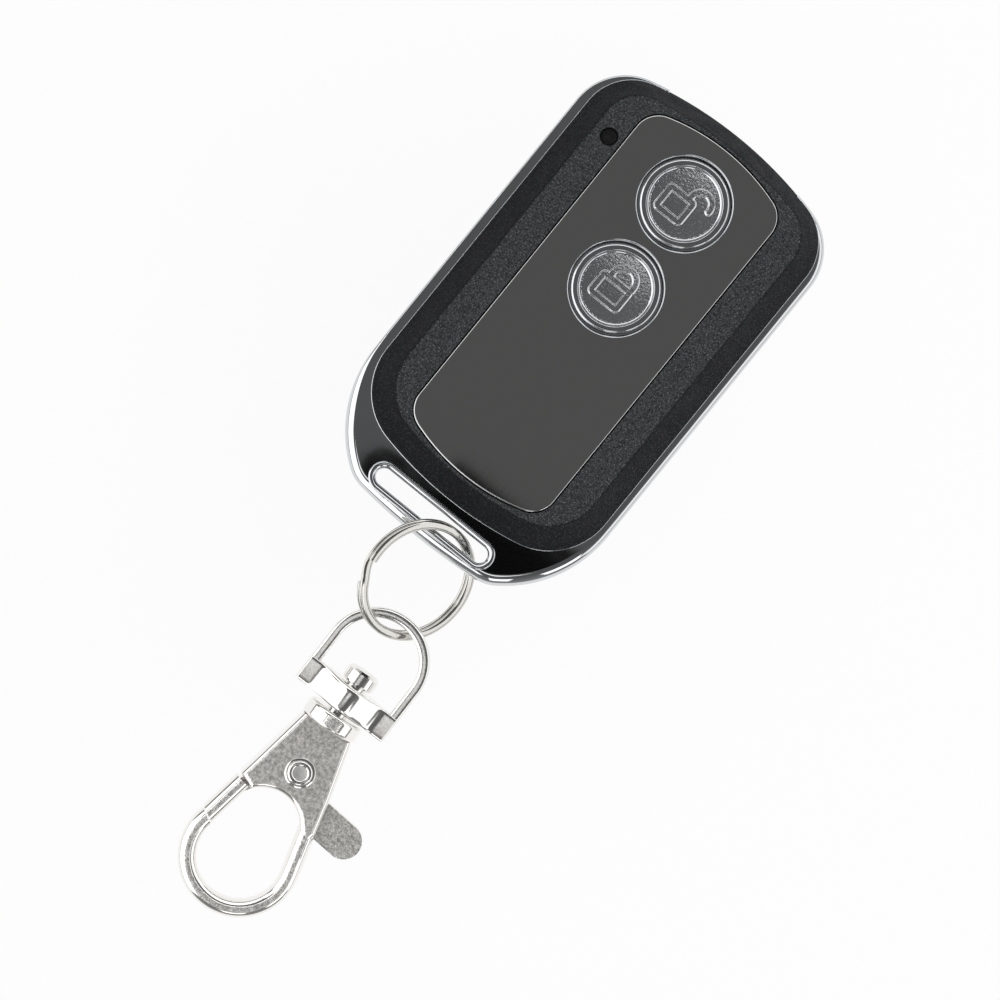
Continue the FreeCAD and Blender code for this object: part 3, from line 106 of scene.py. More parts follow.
def grid_faces(rows, columns):
    """Quads of a grid whose columns close: corners (i,j) (i,j+1) (i+1,j+1) (i+1,j)."""
    i, j = np.meshgrid(np.arange(rows - 1), np.arange(columns), indexing="ij")
    right = (j + 1) % columns
    quads = [i * columns + j, i * columns + right, (i + 1) * columns + right, (i + 1) * columns + j]
    return np.stack(quads, axis=-1).reshape(-1, 4)


def make_piece(name, grids, sharp=SHARP_ANGLE):
    """One mesh object from grids of points, each an array (rows, columns, 3) in millimetres."""
    points, faces, start = [], [], 0
    for grid in grids:
        rows, columns = grid.shape[:2]
        points.append(grid.reshape(-1, 3) * MM)
        faces.append(grid_faces(rows, columns) + start)
        start += rows * columns
    mesh = bpy.data.meshes.new(name)
    mesh.from_pydata(np.concatenate(points).tolist(), [], np.concatenate(faces).tolist())
    work = bmesh.new()
    work.from_mesh(mesh)
    bmesh.ops.remove_doubles(work, verts=work.verts, dist=MERGE_WITHIN)
    bmesh.ops.recalc_face_normals(work, faces=work.faces)
    work.to_mesh(mesh)
    work.free()
    mesh.shade_smooth()
    mesh.set_sharp_from_angle(angle=math.radians(sharp))
    print(name, "has", len(mesh.polygons), "faces")
    return new_object(name, mesh)


def carve(piece, cutter):
    """Takes the cutter's shape out of the piece and keeps the result as the piece's mesh."""
    change = piece.modifiers.new("carve", "BOOLEAN")
    change.operation = "DIFFERENCE"
    change.solver = "EXACT"
    change.object = cutter
    evaluated = piece.evaluated_get(bpy.context.evaluated_depsgraph_get())
    carved = bpy.data.meshes.new_from_object(evaluated)
    piece.modifiers.clear()
    old, piece.data = piece.data, carved
    bpy.data.meshes.remove(old)
    cutter_mesh = cutter.data
    bpy.data.objects.remove(cutter)
    bpy.data.meshes.remove(cutter_mesh)
    carved.shade_smooth()
    carved.set_sharp_from_angle(angle=math.radians(SHARP_ANGLE))
    piece.modifiers.new("flats", "WEIGHTED_NORMAL").keep_sharp = True
    print(piece.name, "carved to", len(carved.polygons), "faces")


# %% Profiles and sections


def unit(vectors):
    """Vectors divided by their lengths."""
    return vectors / np.linalg.norm(vectors, axis=-1, keepdims=True)


def ease(share):
    """A smooth step 3s^2 - 2s^3, with s the share held between 0 and 1."""
    s = np.clip(share, 0.0, 1.0)
    return s**2 * (3 - 2 * s)


def quarter(radius, count):
    """Pairs (inwards, downwards) of a quarter round, from the flat top to the upright side.

    At an angle a from 0 to 90 degrees they are radius (1 - sin a) and radius (1 - cos a).
    """
    turn = np.linspace(0.0, math.pi / 2, count)
    return [(radius * (1 - math.sin(a)), radius * (1 - math.cos(a))) for a in turn]


def capped(grid):
    """Closes a tube, which is a grid of loops, with a pole in the middle of each end loop."""
    poles = grid[[0, -1]].mean(axis=1, keepdims=True).repeat(grid.shape[1], axis=1)
    return np.concatenate([poles[:1], grid, poles[1:]])


def lathe(profile, middle=(0.0, 0.0), count=64):
    """A profile of (radius, height) pairs turned about an upright axis through middle."""
    profile = np.array(profile)
    turn = np.linspace(0.0, 2 * math.pi, count, endpoint=False)
    radius, height = profile[:, :1], profile[:, 1:]
    x = middle[0] + radius * np.cos(turn)
    y = middle[1] + radius * np.sin(turn)
    return np.stack([x, y, np.broadcast_to(height, x.shape)], axis=-1)


def round_stations(stations, reach, steps=5):
    """Rounds the corners of a profile given as an array (stations, points, 3).

    Each inner station Q gives way to steps + 1 points of the curve
    (1-t)^2 P + 2t(1-t) Q + t^2 R, where P and R lie on the profile a distance
    reach before and after Q. A reach of 0 keeps the corner.
    """
    rows = [stations[:1]]
    share = np.linspace(0.0, 1.0, steps + 1)[:, None, None]
    for before, corner, after, size in zip(stations, stations[1:], stations[2:], reach[1:]):
        if size == 0.0:
            rows.append(corner[None])
            continue
        gaps = np.stack([before, after]) - corner
        length = np.maximum(np.linalg.norm(gaps, axis=-1, keepdims=True), 1e-9)
        start, stop = corner + gaps * np.minimum(size / length, 0.5)
        rows.append((1 - share) ** 2 * start + 2 * share * (1 - share) * corner + share**2 * stop)
    rows.append(stations[-1:])
    return np.concatenate(rows)


# %% [markdown]
# ## The fob's outline
#
# The fob, its crease and its plate all have the same kind of outline: straight sides,
# rounded corners and slightly bowed ends, every arc touching the next. Each outline is
# sampled with the same number of points per arc, so that point k of one outline lies
# beside point k of the next, and a surface can be drawn between them.

# %% One outline
BOW_COUNT, CORNER_COUNT, SIDE_COUNT = 36, 30, 40


def arc(middle, radius, start, stop, count, closed=False):
    """Points middle + radius (cos a, sin a) for angles a from start to stop."""
    turn = np.linspace(start, stop, count, endpoint=closed)
    return np.stack([middle[0] + radius * np.cos(turn), middle[1] + radius * np.sin(turn)], axis=-1)


def outline(half_width, top, foot, top_corner, foot_corner, top_bow, foot_bow, blend=None):
    """Closed loop of points (count, 2): right half from the foot upwards, then the left half.

    A corner arc's centre lies sqrt((bow - corner)^2 - (half_width - corner)^2) beyond the
    bow arc's centre, which is where both arcs touch. A blend (radius, drop) sets the foot
    corner's centre at -drop instead and joins it to the bow by an arc of that radius.
    """

    def drop(bow, corner):
        return math.sqrt((bow - corner) ** 2 - (half_width - corner) ** 2)

    foot_middle = np.array([0.0, foot_bow - foot])
    top_middle = np.array([0.0, top - top_bow])
    top_centre = np.array([half_width - top_corner, top_middle[1] + drop(top_bow, top_corner)])
    foot_centre = np.array([half_width - foot_corner, foot_middle[1] - drop(foot_bow, foot_corner)])
    lean = foot_end = -math.atan2(drop(foot_bow, foot_corner), half_width - foot_corner)
    joint = np.empty((0, 2))
    if blend is not None:
        radius, low = blend
        foot_centre = np.array([half_width - foot_corner, -low])
        gap = foot_centre - foot_middle
        size = np.linalg.norm(gap)
        reach, rest = foot_bow - radius, foot_corner - radius
        along = (reach**2 - rest**2 + size**2) / (2 * size)
        side = np.array([-gap[1], gap[0]]) / size
        middle = foot_middle + gap / size * along + side * math.sqrt(reach**2 - along**2)
        lean = math.atan2(*(middle - foot_middle)[::-1])
        foot_end = math.atan2(*(middle - foot_centre)[::-1])
        joint = arc(middle, radius, lean, foot_end, CORNER_COUNT)
    rise = np.linspace(foot_centre[1], top_centre[1], SIDE_COUNT, endpoint=False)
    upper = math.atan2(drop(top_bow, top_corner), half_width - top_corner)
    right = np.concatenate(
        [
            arc(foot_middle, foot_bow, -math.pi / 2, lean, BOW_COUNT),
            joint,
            arc(foot_centre, foot_corner, foot_end, 0.0, CORNER_COUNT),
            np.stack([np.full_like(rise, half_width), rise], axis=-1),
            arc(top_centre, top_corner, 0.0, upper, CORNER_COUNT),
            arc(top_middle, top_bow, upper, math.pi / 2, BOW_COUNT + 1, closed=True),
        ]
    )
    return np.concatenate([right, right[-2:0:-1] * (-1, 1)])


# %% The fob's outlines and heights


def inset(loop, distance):
    """Moves each point of a loop inwards, square to the line through its two neighbours."""
    along = unit(np.roll(loop, -1, axis=0) - np.roll(loop, 1, axis=0))
    inward = np.stack([-along[:, 1], along[:, 0]], axis=-1)
    return loop + inward * np.broadcast_to(distance, len(loop))[:, None]


def at_height(loop, height):
    """A loop of flat points, lifted to one height or to a height for each point."""
    return np.column_stack([loop, np.broadcast_to(height, len(loop))])


# half width, top, foot, radii of the top corner, foot corner, top bow and foot bow
FRAME = outline(17.0, 29.1, 29.1, 7.0, 15.0, 48.0, 79.0, blend=(5.0, 15.5))
SHELL = outline(15.75, 28.75, 23.4, 6.2, 8.0, 47.6, 45.0)
CREASE = outline(13.4, 27.0, 20.8, 4.5, 6.5, 48.0, 45.0)
PLATE = outline(9.72, 26.55, 20.4, 3.1, 3.1, 25.0, 25.0)
FRAME_LOW, FRAME_HIGH, WALL_HIGH, ROOF, RIM_HEIGHT = 4.0, 6.6, 6.95, 9.4, 11.2
BUTTONS = {"unlock": 18.9, "lock": 6.7}
LIGHT = (-11.35, 19.45)
SLOT_Y, SLOT_HALF, SLOT_RADIUS = -26.15, 6.9, 0.95
print("outlines have", len(SHELL), "and", len(FRAME), "points")

# %% [markdown]
# ## The front shell
#
# The real front shell is one moulding of black ABS: a low wall on the chrome frame, a
# steep bevel, a soft crease, a flat rim and a shallow seat that the glossy plate is glued
# into. A box with bevelled edges would round every edge alike. Here a profile is carried
# along nested outlines instead, so that each edge has its own radius, and the button
# holes and the light's hole are then taken out with a cutter.

# %% Front shell
STEP, SKIRT, SHELL_FOOT, SEAT = 7.8, 5.3, FRAME_HIGH + 0.01, 10.2
pole = np.broadcast_to((0.0, 2.0), SHELL.shape)
plate_seat = inset(PLATE, -0.1)
# loop, height and rounding of each edge: inside the roof, down to the skirt, out, up and over
shell_profile = (
    (pole, ROOF, 0.0),
    (inset(CREASE, 0.6), ROOF, 0.0),
    (inset(CREASE, 0.6), STEP, 0.0),
    (inset(SHELL, 2.4), STEP, 0.0),
    (inset(SHELL, 2.4), SKIRT, 0.0),
    (inset(SHELL, 1.9), SKIRT, 0.0),
    (inset(SHELL, 1.9), SHELL_FOOT, 0.0),
    (SHELL, SHELL_FOOT, 0.08),
    (SHELL, WALL_HIGH, 0.3),
    (CREASE, RIM_HEIGHT, 0.4),
    (plate_seat, RIM_HEIGHT, 0.1),
    (plate_seat, SEAT, 0.0),
    (pole, SEAT, 0.0),
)
shell_stations = np.stack([at_height(loop, height) for loop, height, _ in shell_profile])
shell_grid = round_stations(shell_stations, [reach for *_, reach in shell_profile])
front_shell = make_piece("front_shell", [shell_grid])

# %% Holes in the shell
HOLE, LIGHT_HOLE, LIGHT_FLARE = 5.3, 1.0, 1.14
CUT_LOW, CUT_HIGH = 9.0, 12.0


def drill(radius):
    """The profile of a round cutter that goes through the shell's roof."""
    return [(0.0, CUT_LOW), (radius, CUT_LOW), (radius, CUT_HIGH), (0.0, CUT_HIGH)]


def at_buttons(profile, count=128):
    """A profile turned about the axis of each button."""
    return [lathe(profile, (0.0, y), count) for y in BUTTONS.values()]


light_drill = drill(LIGHT_HOLE)[:2] + [(LIGHT_HOLE, 11.1), (LIGHT_FLARE, 11.24)]
light_drill += drill(LIGHT_FLARE)[2:]
carve(front_shell, make_piece("hole_cutter", [*at_buttons(drill(HOLE)), lathe(light_drill, LIGHT)]))

# %% [markdown]
# At the top end the chrome frame is interrupted, and a tongue of the shell fills the gap.
# Its front is bowed like the frame, and its top is flush under the bevel. The tongue is a
# profile in the YZ plane carried across from left to right.

# %% Tongue at the top end
TONGUE_HALF, TONGUE_BOW, TONGUE_MIDDLE = 9.35, 47.79, -18.9
across = np.linspace(-TONGUE_HALF, TONGUE_HALF, 61)
bow_y = TONGUE_MIDDLE + np.sqrt(TONGUE_BOW**2 - across**2)
# each corner's distance behind the bowed front, and its height
tongue_profile = [(2.2, 4.05), (0.45, 4.05), (0.0, 4.5), (0.0, 6.5), (0.2, 6.95), (2.2, 6.95)]
tongue_lines = [
    np.stack([across, bow_y - back, np.full_like(across, z)], axis=-1) for back, z in tongue_profile
]
tongue = make_piece("shell_tongue", [capped(np.stack(tongue_lines, axis=1))], sharp=35.0)

# %% [markdown]
# ## The chrome frame
#
# The frame is a plated ring round the waist of the fob. Its outer edge is rounded: crisply
# at the left, more broadly at the right, and most at the foot, where it becomes the broad
# bright band that makes plated metal look thick. Chrome shows any kink at once, so the
# edge is a true quarter circle whose radius changes smoothly along the outline. The
# opening and the slot are cut out, and a raised lip follows the slot.

# %% Chrome frame
EDGE_LEFT, EDGE_RIGHT, EDGE_FOOT, EDGE_BELOW = 0.24, 0.9, 1.25, 0.5
# both changes of the radius take 12 mm: down from y = -12, and from x = -6 to 6
foot_share = ease((-12.0 - FRAME[:, 1]) / 12.0)
right_share = ease((FRAME[:, 0] + 6.0) / 12.0)
side_radius = EDGE_LEFT + (EDGE_RIGHT - EDGE_LEFT) * right_share
edge_radius = side_radius + (EDGE_FOOT - side_radius) * foot_share
frame_pole = np.zeros_like(FRAME)


def edge_rows(loop, height, radius, count, down=1):
    """Rows of a quarter round, from the flat at this height down, or up, to the loop."""
    pairs = quarter(radius, count)
    return [at_height(inset(loop, inward), height - down * fall) for inward, fall in pairs]


rows = [at_height(frame_pole, FRAME_HIGH), at_height(inset(FRAME, edge_radius + 0.08), FRAME_HIGH)]
rows += edge_rows(FRAME, FRAME_HIGH, edge_radius, 11)
rows += edge_rows(FRAME, FRAME_LOW, EDGE_BELOW, 7, down=-1)[::-1]
rows += [at_height(inset(FRAME, EDGE_BELOW + 0.1), FRAME_LOW), at_height(frame_pole, FRAME_LOW)]
chrome_ring = make_piece("chrome_ring", [np.stack(rows)])

# %% Openings of the frame
LIP = 0.78
NOTCH_HALF, NOTCH_LOW, NOTCH_HIGH = 9.4, 25.0, 30.0
BLOCK_LOW, BLOCK_HIGH = 3.0, 8.0


def stadium(middle_y, half, radius, count=24):
    """A closed loop round two half circles of the radius about (-half, y) and (half, y)."""
    right = arc((half, middle_y), radius, -math.pi / 2, math.pi / 2, count, closed=True)
    left = arc((-half, middle_y), radius, math.pi / 2, 1.5 * math.pi, count, closed=True)
    return np.concatenate([right, left])


def block(loop):
    """A closed block over a loop, which goes through the frame from below to above."""
    return capped(np.stack([at_height(loop, height) for height in (BLOCK_LOW, BLOCK_HIGH)]))


opening = inset(outline(15.75, 27.9, 23.4, 6.2, 8.0, 47.0, 45.0), 1.5)
slot_cut = stadium(SLOT_Y, SLOT_HALF, SLOT_RADIUS + LIP)
carve(chrome_ring, make_piece("opening_cutter", [block(opening), block(slot_cut)]))
notch = np.array([(1, NOTCH_LOW), (1, NOTCH_HIGH), (-1, NOTCH_HIGH), (-1, NOTCH_LOW)])
carve(chrome_ring, make_piece("notch_cutter", [block(notch * (NOTCH_HALF, 1.0))]))

# %% [markdown]
# The slot's lip is a rounded rib that runs once round the slot and lines its wall. It is
# a low dome that sinks into the slot on its inner side, which leaves room for the ring to
# swing. Its section is carried along the stadium of the slot.

# %% Slot lip
DOME_MIDDLE, DOME_HALF, DOME_RISE, DOME_SINK = LIP / 2 + 0.06, LIP / 2 + 0.04, 0.29, 0.45
turn = np.linspace(0.15, math.pi, 18)
dome_height = FRAME_HIGH - 0.06 - DOME_SINK * (turn / math.pi) ** 2 + DOME_RISE * np.sin(turn)
lip_section = [(LIP + 0.02, FRAME_LOW + 0.1), (LIP + 0.02, FRAME_HIGH - 0.05)]
lip_section += [*zip(DOME_MIDDLE + DOME_HALF * np.cos(turn), dome_height)]
lip_section += [(0.02, FRAME_LOW + 0.55), (0.1, FRAME_LOW + 0.25), (0.3, FRAME_LOW + 0.05)]
lip_rows = [
    at_height(stadium(SLOT_Y, SLOT_HALF, SLOT_RADIUS + out), height)
    for out, height in lip_section + lip_section[:1]
]
slot_lip = make_piece("slot_lip", [np.stack(lip_rows)], sharp=60.0)

# %% [markdown]
# A fine plated bead runs round the foot of the black shell, where the frame's edge was
# pressed against it. It is what draws the thin bright line between black and chrome.

# %% Bead round the shell
BEAD, BEAD_SUNK = 0.08, 0.5
# over the tongue there is no frame, so the bead dives into the shell there
over_tongue = (SHELL[:, 1] > 20.0) & (np.abs(SHELL[:, 0]) < 9.6)
sunk = np.where(over_tongue, BEAD_SUNK, 0.0)
inwards, heights = sunk - 0.05, FRAME_HIGH + 0.02 - sunk
bead_rows = [
    at_height(inset(SHELL, inwards - BEAD * math.cos(a)), heights + BEAD * math.sin(a))
    for a in np.linspace(0.0, 2 * math.pi, 11)
]
shell_bead = make_piece("shell_bead", [np.stack(bead_rows)], sharp=80.0)

# %% [markdown]
# ## The face plate
#
# The plate is a thin mirror with a rounded rim, and the rim is what catches the lights as
# a fine bright line. The two button holes have rounded edges too, which are added as
# narrow turned rings because a boolean cut leaves only sharp edges.

# %% Face plate
PLATE_TOP, PLATE_LOW, RIM_ROUND, RING_WIDTH = 11.22, 10.3, 0.2, 0.3
plate_rows = [at_height(pole, PLATE_TOP), at_height(inset(PLATE, RIM_ROUND + 0.05), PLATE_TOP)]
plate_rows += edge_rows(PLATE, PLATE_TOP, RIM_ROUND, 8)
plate_rows += [at_height(PLATE, PLATE_LOW), at_height(pole, PLATE_LOW)]
mirror_plate = make_piece("mirror_plate", [np.stack(plate_rows)])
carve(mirror_plate, make_piece("plate_cutter", at_buttons(drill(HOLE + RING_WIDTH))))
edge_profile = [(HOLE + inward, PLATE_TOP - fall) for inward, fall in quarter(RING_WIDTH, 8)]
edge_profile += [(HOLE, PLATE_LOW), (HOLE + RING_WIDTH, PLATE_LOW), edge_profile[0]]
hole_edges = make_piece("plate_hole_edges", at_buttons(edge_profile, 160))

# %% [markdown]
# ## The split ring
#
# A split ring is a flat spring wire wound twice round, with a short step where it climbs
# from one turn to the other. Two stacked tori would show neither the step nor the two
# cut ends. Here one section with rolled edges, nearly an ellipse, is carried along the
# whole path of almost two turns.

# %% Split ring
RING_MEAN, RING_LIFT, RING_PLACE = 6.875, 0.31, (3.25, -32.9, 5.3)
RING_TILT, RING_BEARING = math.radians(38.0), math.radians(203.0)
STEP_START, STEP_LONG, COIL_START, COIL_END = 348.0, 24.0, 12.0, 708.0
WIRE_WIDTH, WIRE_THICK = 1.05, 0.58


def crowned_section(power, count=40):
    """A loop |x|^p + |y|^p = 1 as offsets (outwards, upwards); a high p is nearly square."""
    turn = np.linspace(0.0, 2 * math.pi, count, endpoint=False)
    x = np.sign(np.cos(turn)) * np.abs(np.cos(turn)) ** (2 / power)
    y = np.sign(np.sin(turn)) * np.abs(np.sin(turn)) ** (2 / power)
    return np.stack([x, y], axis=-1)


def ring_points(turn, section):
    """Points of the ring: (R + outwards) round the axis, at the step's height + upwards.

    The height rises from -lift to lift over the step's 24 degrees by 3s^2 - 2s^3.
    """
    height = RING_LIFT * (2 * ease((np.degrees(turn) - STEP_START) / STEP_LONG) - 1)
    bearing = (turn + RING_BEARING)[:, None]
    reach = RING_MEAN + section[None, :, 0]
    x, y = reach * np.cos(bearing), reach * np.sin(bearing)
    z = height[:, None] + section[None, :, 1]
    cos, sin = math.cos(RING_TILT), math.sin(RING_TILT)
    return np.stack([x * cos + z * sin, y, z * cos - x * sin], axis=-1) + RING_PLACE


wire_section = crowned_section(2.3) * (WIRE_WIDTH / 2, WIRE_THICK / 2)
coil_turn = np.radians(np.linspace(COIL_START, COIL_END, 420))
ring_coil = make_piece("ring_coil", [capped(ring_points(coil_turn, wire_section))], sharp=50.0)

# %% [markdown]
# ## Colour and nodes
#
# Colours are written as the sRGB hex values that a paint program shows and are turned
# linear by one function. Another function adds a node with its settings and links, so
# that a material reads as a short list of what its surface does. A pattern's scale comes
# from the real size of its grains.

# %% Material helpers
COLOURS, TIMES = {"data_type": "RGBA"}, {"operation": "MULTIPLY"}
NOISE_MIDDLE = {"From Min": 0.35, "From Max": 0.65}  # the range that holds most of a noise


def linear(hex_colour):
    """An sRGB hex value as linear red, green, blue and full opacity."""
    parts = [int(hex_colour[k:k + 2], 16) / 255 for k in (1, 3, 5)]
    return (*[p / 12.92 if p <= 0.04045 else ((p + 0.055) / 1.055) ** 2.4 for p in parts], 1.0)


def grains(place, size_mm, **more):
    """The settings of a noise with grains size_mm across: its scale is one over that size."""
    return {"Vector": place, "Scale": 1.0 / (size_mm * MM), **more}


def give(tree, node, settings):
    """Gives a node's inputs values or links, and its properties values.

    A link is a socket, or a node that stands for its result, output 0 or, in a mix, 2.
    """
    for key, value in settings.items():
        if isinstance(value, bpy.types.Node):
            value = value.outputs[2 if value.bl_idname == "ShaderNodeMix" else 0]
        if isinstance(value, bpy.types.NodeSocket):
            tree.links.new(value, node.inputs[key])
        elif isinstance(key, int) or key in node.inputs:
            node.inputs[key].default_value = value
        else:
            setattr(node, key, value)
    return node


def add(tree, kind, settings=None):
    """Adds a node of this kind with its settings and links."""
    return give(tree, tree.nodes.new("ShaderNode" + kind), settings or {})


def bare_tree(owner):
    """The node tree of a material or a world, emptied."""
    owner.use_nodes = True
    owner.node_tree.nodes.clear()
    return owner.node_tree


def new_material(name, settings):
    """A material with one Principled surface, and its tree, surface and Object coordinates."""
    material = bpy.data.materials.new(name)
    tree = bare_tree(material)
    surface = add(tree, "BsdfPrincipled", settings)
    add(tree, "OutputMaterial", {"Surface": surface})
    print("material", name)
    return material, tree, surface, add(tree, "TexCoord").outputs["Object"]


# %% [markdown]
# ## Black ABS with a spark-eroded texture
#
# The mould was cut by sparks, which leave round pits a tenth to two tenths of a
# millimetre across, and the plastic copies them. The pits scatter the light, so black
# ABS reads as a dark grey with pale glints, which are painted into its colour as pale
# specks: painted glints. A plain rough black would look like rubber.

# %% Black ABS
# ABS, injection moulded against a spark-eroded wall: dull, slightly blue black, fine pits
black_abs, tree, surface, place = new_material(
    "black_abs_texture_painted_shade_glints", {"IOR": 1.53, "Specular IOR Level": 0.03}
)
# the pits are drawn 0.24 mm across, about twice their size, so that they show in a picture
pits = add(tree, "TexNoise", grains(place, 0.24, Detail=3.0, Roughness=0.65))
deep = add(tree, "MapRange", {**NOISE_MIDDLE, "Value": pits})
coarse = add(tree, "Mix", {**COLOURS, 0: deep, 6: linear("#2b2c2e"), 7: linear("#4d4e51")})
# the rim round the plate keeps the coarse texture; the bevels below it are painted darker as painted shade, which
# also weakens their texture
height = add(tree, "SeparateXYZ", {"Vector": place}).outputs["Z"]
rim = {"From Min": (RIM_HEIGHT - 0.1) * MM, "From Max": (RIM_HEIGHT - 0.02) * MM}
on_rim = add(tree, "MapRange", {**rim, "Value": height})
# painted shade: the bevels' colour is taken 0.68 of the way to a darker black
fine = add(tree, "Mix", {**COLOURS, 0: 0.68, 6: coarse, 7: linear("#141518")})
ground = add(tree, "Mix", {**COLOURS, 0: on_rim, 6: fine, 7: coarse})
# painted glints: pale specks painted into the colour where the pits catch light, fuller on the rim than on the
# bevels
specks = add(tree, "TexNoise", grains(place, 0.17))
painted_glints = add(tree, "MapRange", {"From Min": 0.56, "From Max": 0.74, "Value": specks})
rim_glint_share = add(tree, "MapRange", {"To Min": 0.35, "To Max": 0.8, "Value": on_rim})
shown = add(tree, "Math", {**TIMES, 0: painted_glints, 1: rim_glint_share})
colour = add(tree, "Mix", {**COLOURS, 0: shown, 6: ground, 7: linear("#8a8b8e")})
patches = add(tree, "TexNoise", grains(place, 2.5))
rough = add(tree, "MapRange", {**NOISE_MIDDLE, "To Min": 0.5, "To Max": 0.62, "Value": patches})
bump = add(tree, "Bump", {"Strength": 0.9, "Distance": 0.06 * MM, "Height": pits})
give(tree, surface, {"Base Color": colour, "Roughness": rough, "Normal": bump})

# %% [markdown]
# ## Chrome plating
#
# The frame and the buttons are ABS that was plated with bright chrome. Flat chrome
# mirrors whatever is above it, so most of its look comes from the lights further down.
# What the material adds is the faint unevenness of a plated moulding and, on the
# buttons, a fine grain in the dished middle.

# %% Chrome


def make_chrome(name, grain_attribute=None):
    # bright chrome over moulded ABS: a clear mirror, faintly uneven over a few millimetres
    material, tree, surface, place = new_material(
        name, {"Metallic": 1.0, "Roughness": 0.04, "Base Color": linear("#d4d6d8")}
    )
    if grain_attribute is None:
        waves = add(tree, "TexNoise", grains(place, 3.5, Detail=1.0))
        bump = add(tree, "Bump", {"Strength": 0.25, "Distance": 0.02 * MM, "Height": waves})
        give(tree, surface, {"Normal": bump})
        return material
    # the dish of a button was moulded against a fine grain, which the plating keeps
    mask = add(tree, "Attribute", {"attribute_name": grain_attribute}).outputs["Fac"]
    grain = add(tree, "TexNoise", grains(place, 0.3, Roughness=0.6))
    height = add(tree, "Math", {**TIMES, 0: mask, 1: grain})
    rough = add(tree, "MapRange", {"To Min": 0.09, "To Max": 0.2, "Value": mask})
    bump = add(tree, "Bump", {"Strength": 1.0, "Distance": 0.04 * MM, "Height": height})
    give(tree, surface, {"Roughness": rough, "Normal": bump})
    return material


chrome_plate = make_chrome("chrome_plated_abs")
button_chrome = make_chrome("chrome_plated_button", "grain")

# %% [markdown]
# ## Nickel plating
#
# The ring is nickel-plated steel wire, and the hook, its gate and the yoke are die-cast
# zinc under nickel, a warmer and softer mirror than chrome. The casting's flats keep the
# mottled grain of the mould, and only its edges were tumbled bright. So the material
# tells a flat by how far its normal leans from the axis that the flats face.

# %% Nickel


def joint_line(name):
    """A joint's place in millimetres and its axis as a unit vector."""
    joint = next(joint for joint in frame["joints"] if joint["name"] == name)
    return np.array(joint["pos_m"]) / MM, unit(np.array(joint["axis"]))


def make_nickel(name, axis=None, pale="#f4f2ee", dull="#a09e99", flat_rough=0.42, depth_mm=0.09):
    # nickel plate over drawn wire, or over a casting whose flats face along an axis
    material, tree, surface, place = new_material(
        name, {"Metallic": 1.0, "Roughness": 0.12, "Base Color": linear("#cfcdc8")}
    )
    fine = add(tree, "TexNoise", grains(place, 0.2, Detail=3.0, Roughness=0.6))
    if axis is None:
        rough = {**NOISE_MIDDLE, "To Min": 0.07, "To Max": 0.15, "Value": fine}
        bump = add(tree, "Bump", {"Strength": 0.5, "Distance": 0.006 * MM, "Height": fine})
        give(tree, surface, {"Roughness": add(tree, "MapRange", rough), "Normal": bump})
        return material
    facing = place.node.outputs["Normal"]
    along = add(tree, "VectorMath", {"operation": "DOT_PRODUCT", 0: facing, 1: axis})
    size = add(tree, "Math", {"operation": "ABSOLUTE", 0: along.outputs["Value"]})
    flat = add(tree, "MapRange", {"From Min": 0.96, "From Max": 0.995, "Value": size})
    patches = add(tree, "TexNoise", grains(place, 0.42, Detail=5.0, Roughness=0.72))
    patches = add(tree, "MapRange", {**NOISE_MIDDLE, "Value": patches})
    mottled = add(tree, "Math", {**TIMES, 0: flat, 1: patches})
    colour = add(tree, "Mix", {**COLOURS, 0: mottled, 6: linear(pale), 7: linear(dull)})
    rough = add(tree, "MapRange", {"To Min": 0.1, "To Max": flat_rough, "Value": flat})
    height = add(tree, "Math", {**TIMES, 0: flat, 1: fine})
    bump = add(tree, "Bump", {"Strength": 1.0, "Distance": depth_mm * MM, "Height": height})
    give(tree, surface, {"Base Color": colour, "Roughness": rough, "Normal": bump})
    return material


gate_place, gate_axis = joint_line("gate_open")
YOKE_AXIS = (0.005, -0.073, 0.997)  # where the yoke's front faces, as its own cell works out
nickel_hook = make_nickel("nickel_plated_zinc_hook", tuple(gate_axis))
nickel_cast = make_nickel("nickel_plated_zinc_tumbled", YOKE_AXIS, "#f2f1ee", "#dcdad6", 0.2, 0.004)
nickel_wire = make_nickel("nickel_plated_steel")

# %% [markdown]
# ## The mirror plate
#
# The plate in the front is acrylic with a metal coating under a smoked surface, so it
# reflects the room as evenly as the chrome does. It carries only the faintest hairline
# scratches, which are drawn as a stretched noise in the roughness.

# %% Mirror plate
# mirror-coated acrylic: flat, smoked reflection
smoked = {"Metallic": 1.0, "Roughness": 0.03, "Base Color": linear("#d0d0cf")}
mirror_acrylic, tree, surface, place = new_material("mirror_coated_acrylic", smoked)
stretch = {"Vector": place, "Scale": (1.0, 0.06, 1.0), "Rotation": (0, 0, 0.5)}
stretched = add(tree, "Mapping", stretch)
scratches = add(tree, "TexNoise", grains(stretched, 0.2))
rough = {**NOISE_MIDDLE, "To Min": 0.03, "To Max": 0.042, "Value": scratches}
give(tree, surface, {"Roughness": add(tree, "MapRange", rough)})

# %% [markdown]
# ## The buttons
#
# A button is a plated cap: a polished ring round a dished, grainy middle, in which the
# plain outline of a padlock stands up as a smooth, flat-topped rib. A carved sign with
# sharp walls would look engraved. The rib is a height that depends on the distance to the
# outline's centre line, so it rises and falls softly, as a moulded and plated rib does.

# %% Padlock outline
RIDGE_HALF, RIDGE_RISE, RIDGE_SLOPE, BODY_CORNER = 0.5, 0.15, 0.24, 0.25


def box_distance(x, y, middle, half, corner):
    """Distance to a rounded rectangle's line: inside and outside it counts alike."""
    dx = np.abs(x - middle[0]) - half[0] + corner
    dy = np.abs(y - middle[1]) - half[1] + corner
    outside = np.hypot(np.maximum(dx, 0), np.maximum(dy, 0))
    return np.abs(outside + np.minimum(np.maximum(dx, dy), 0) - corner)


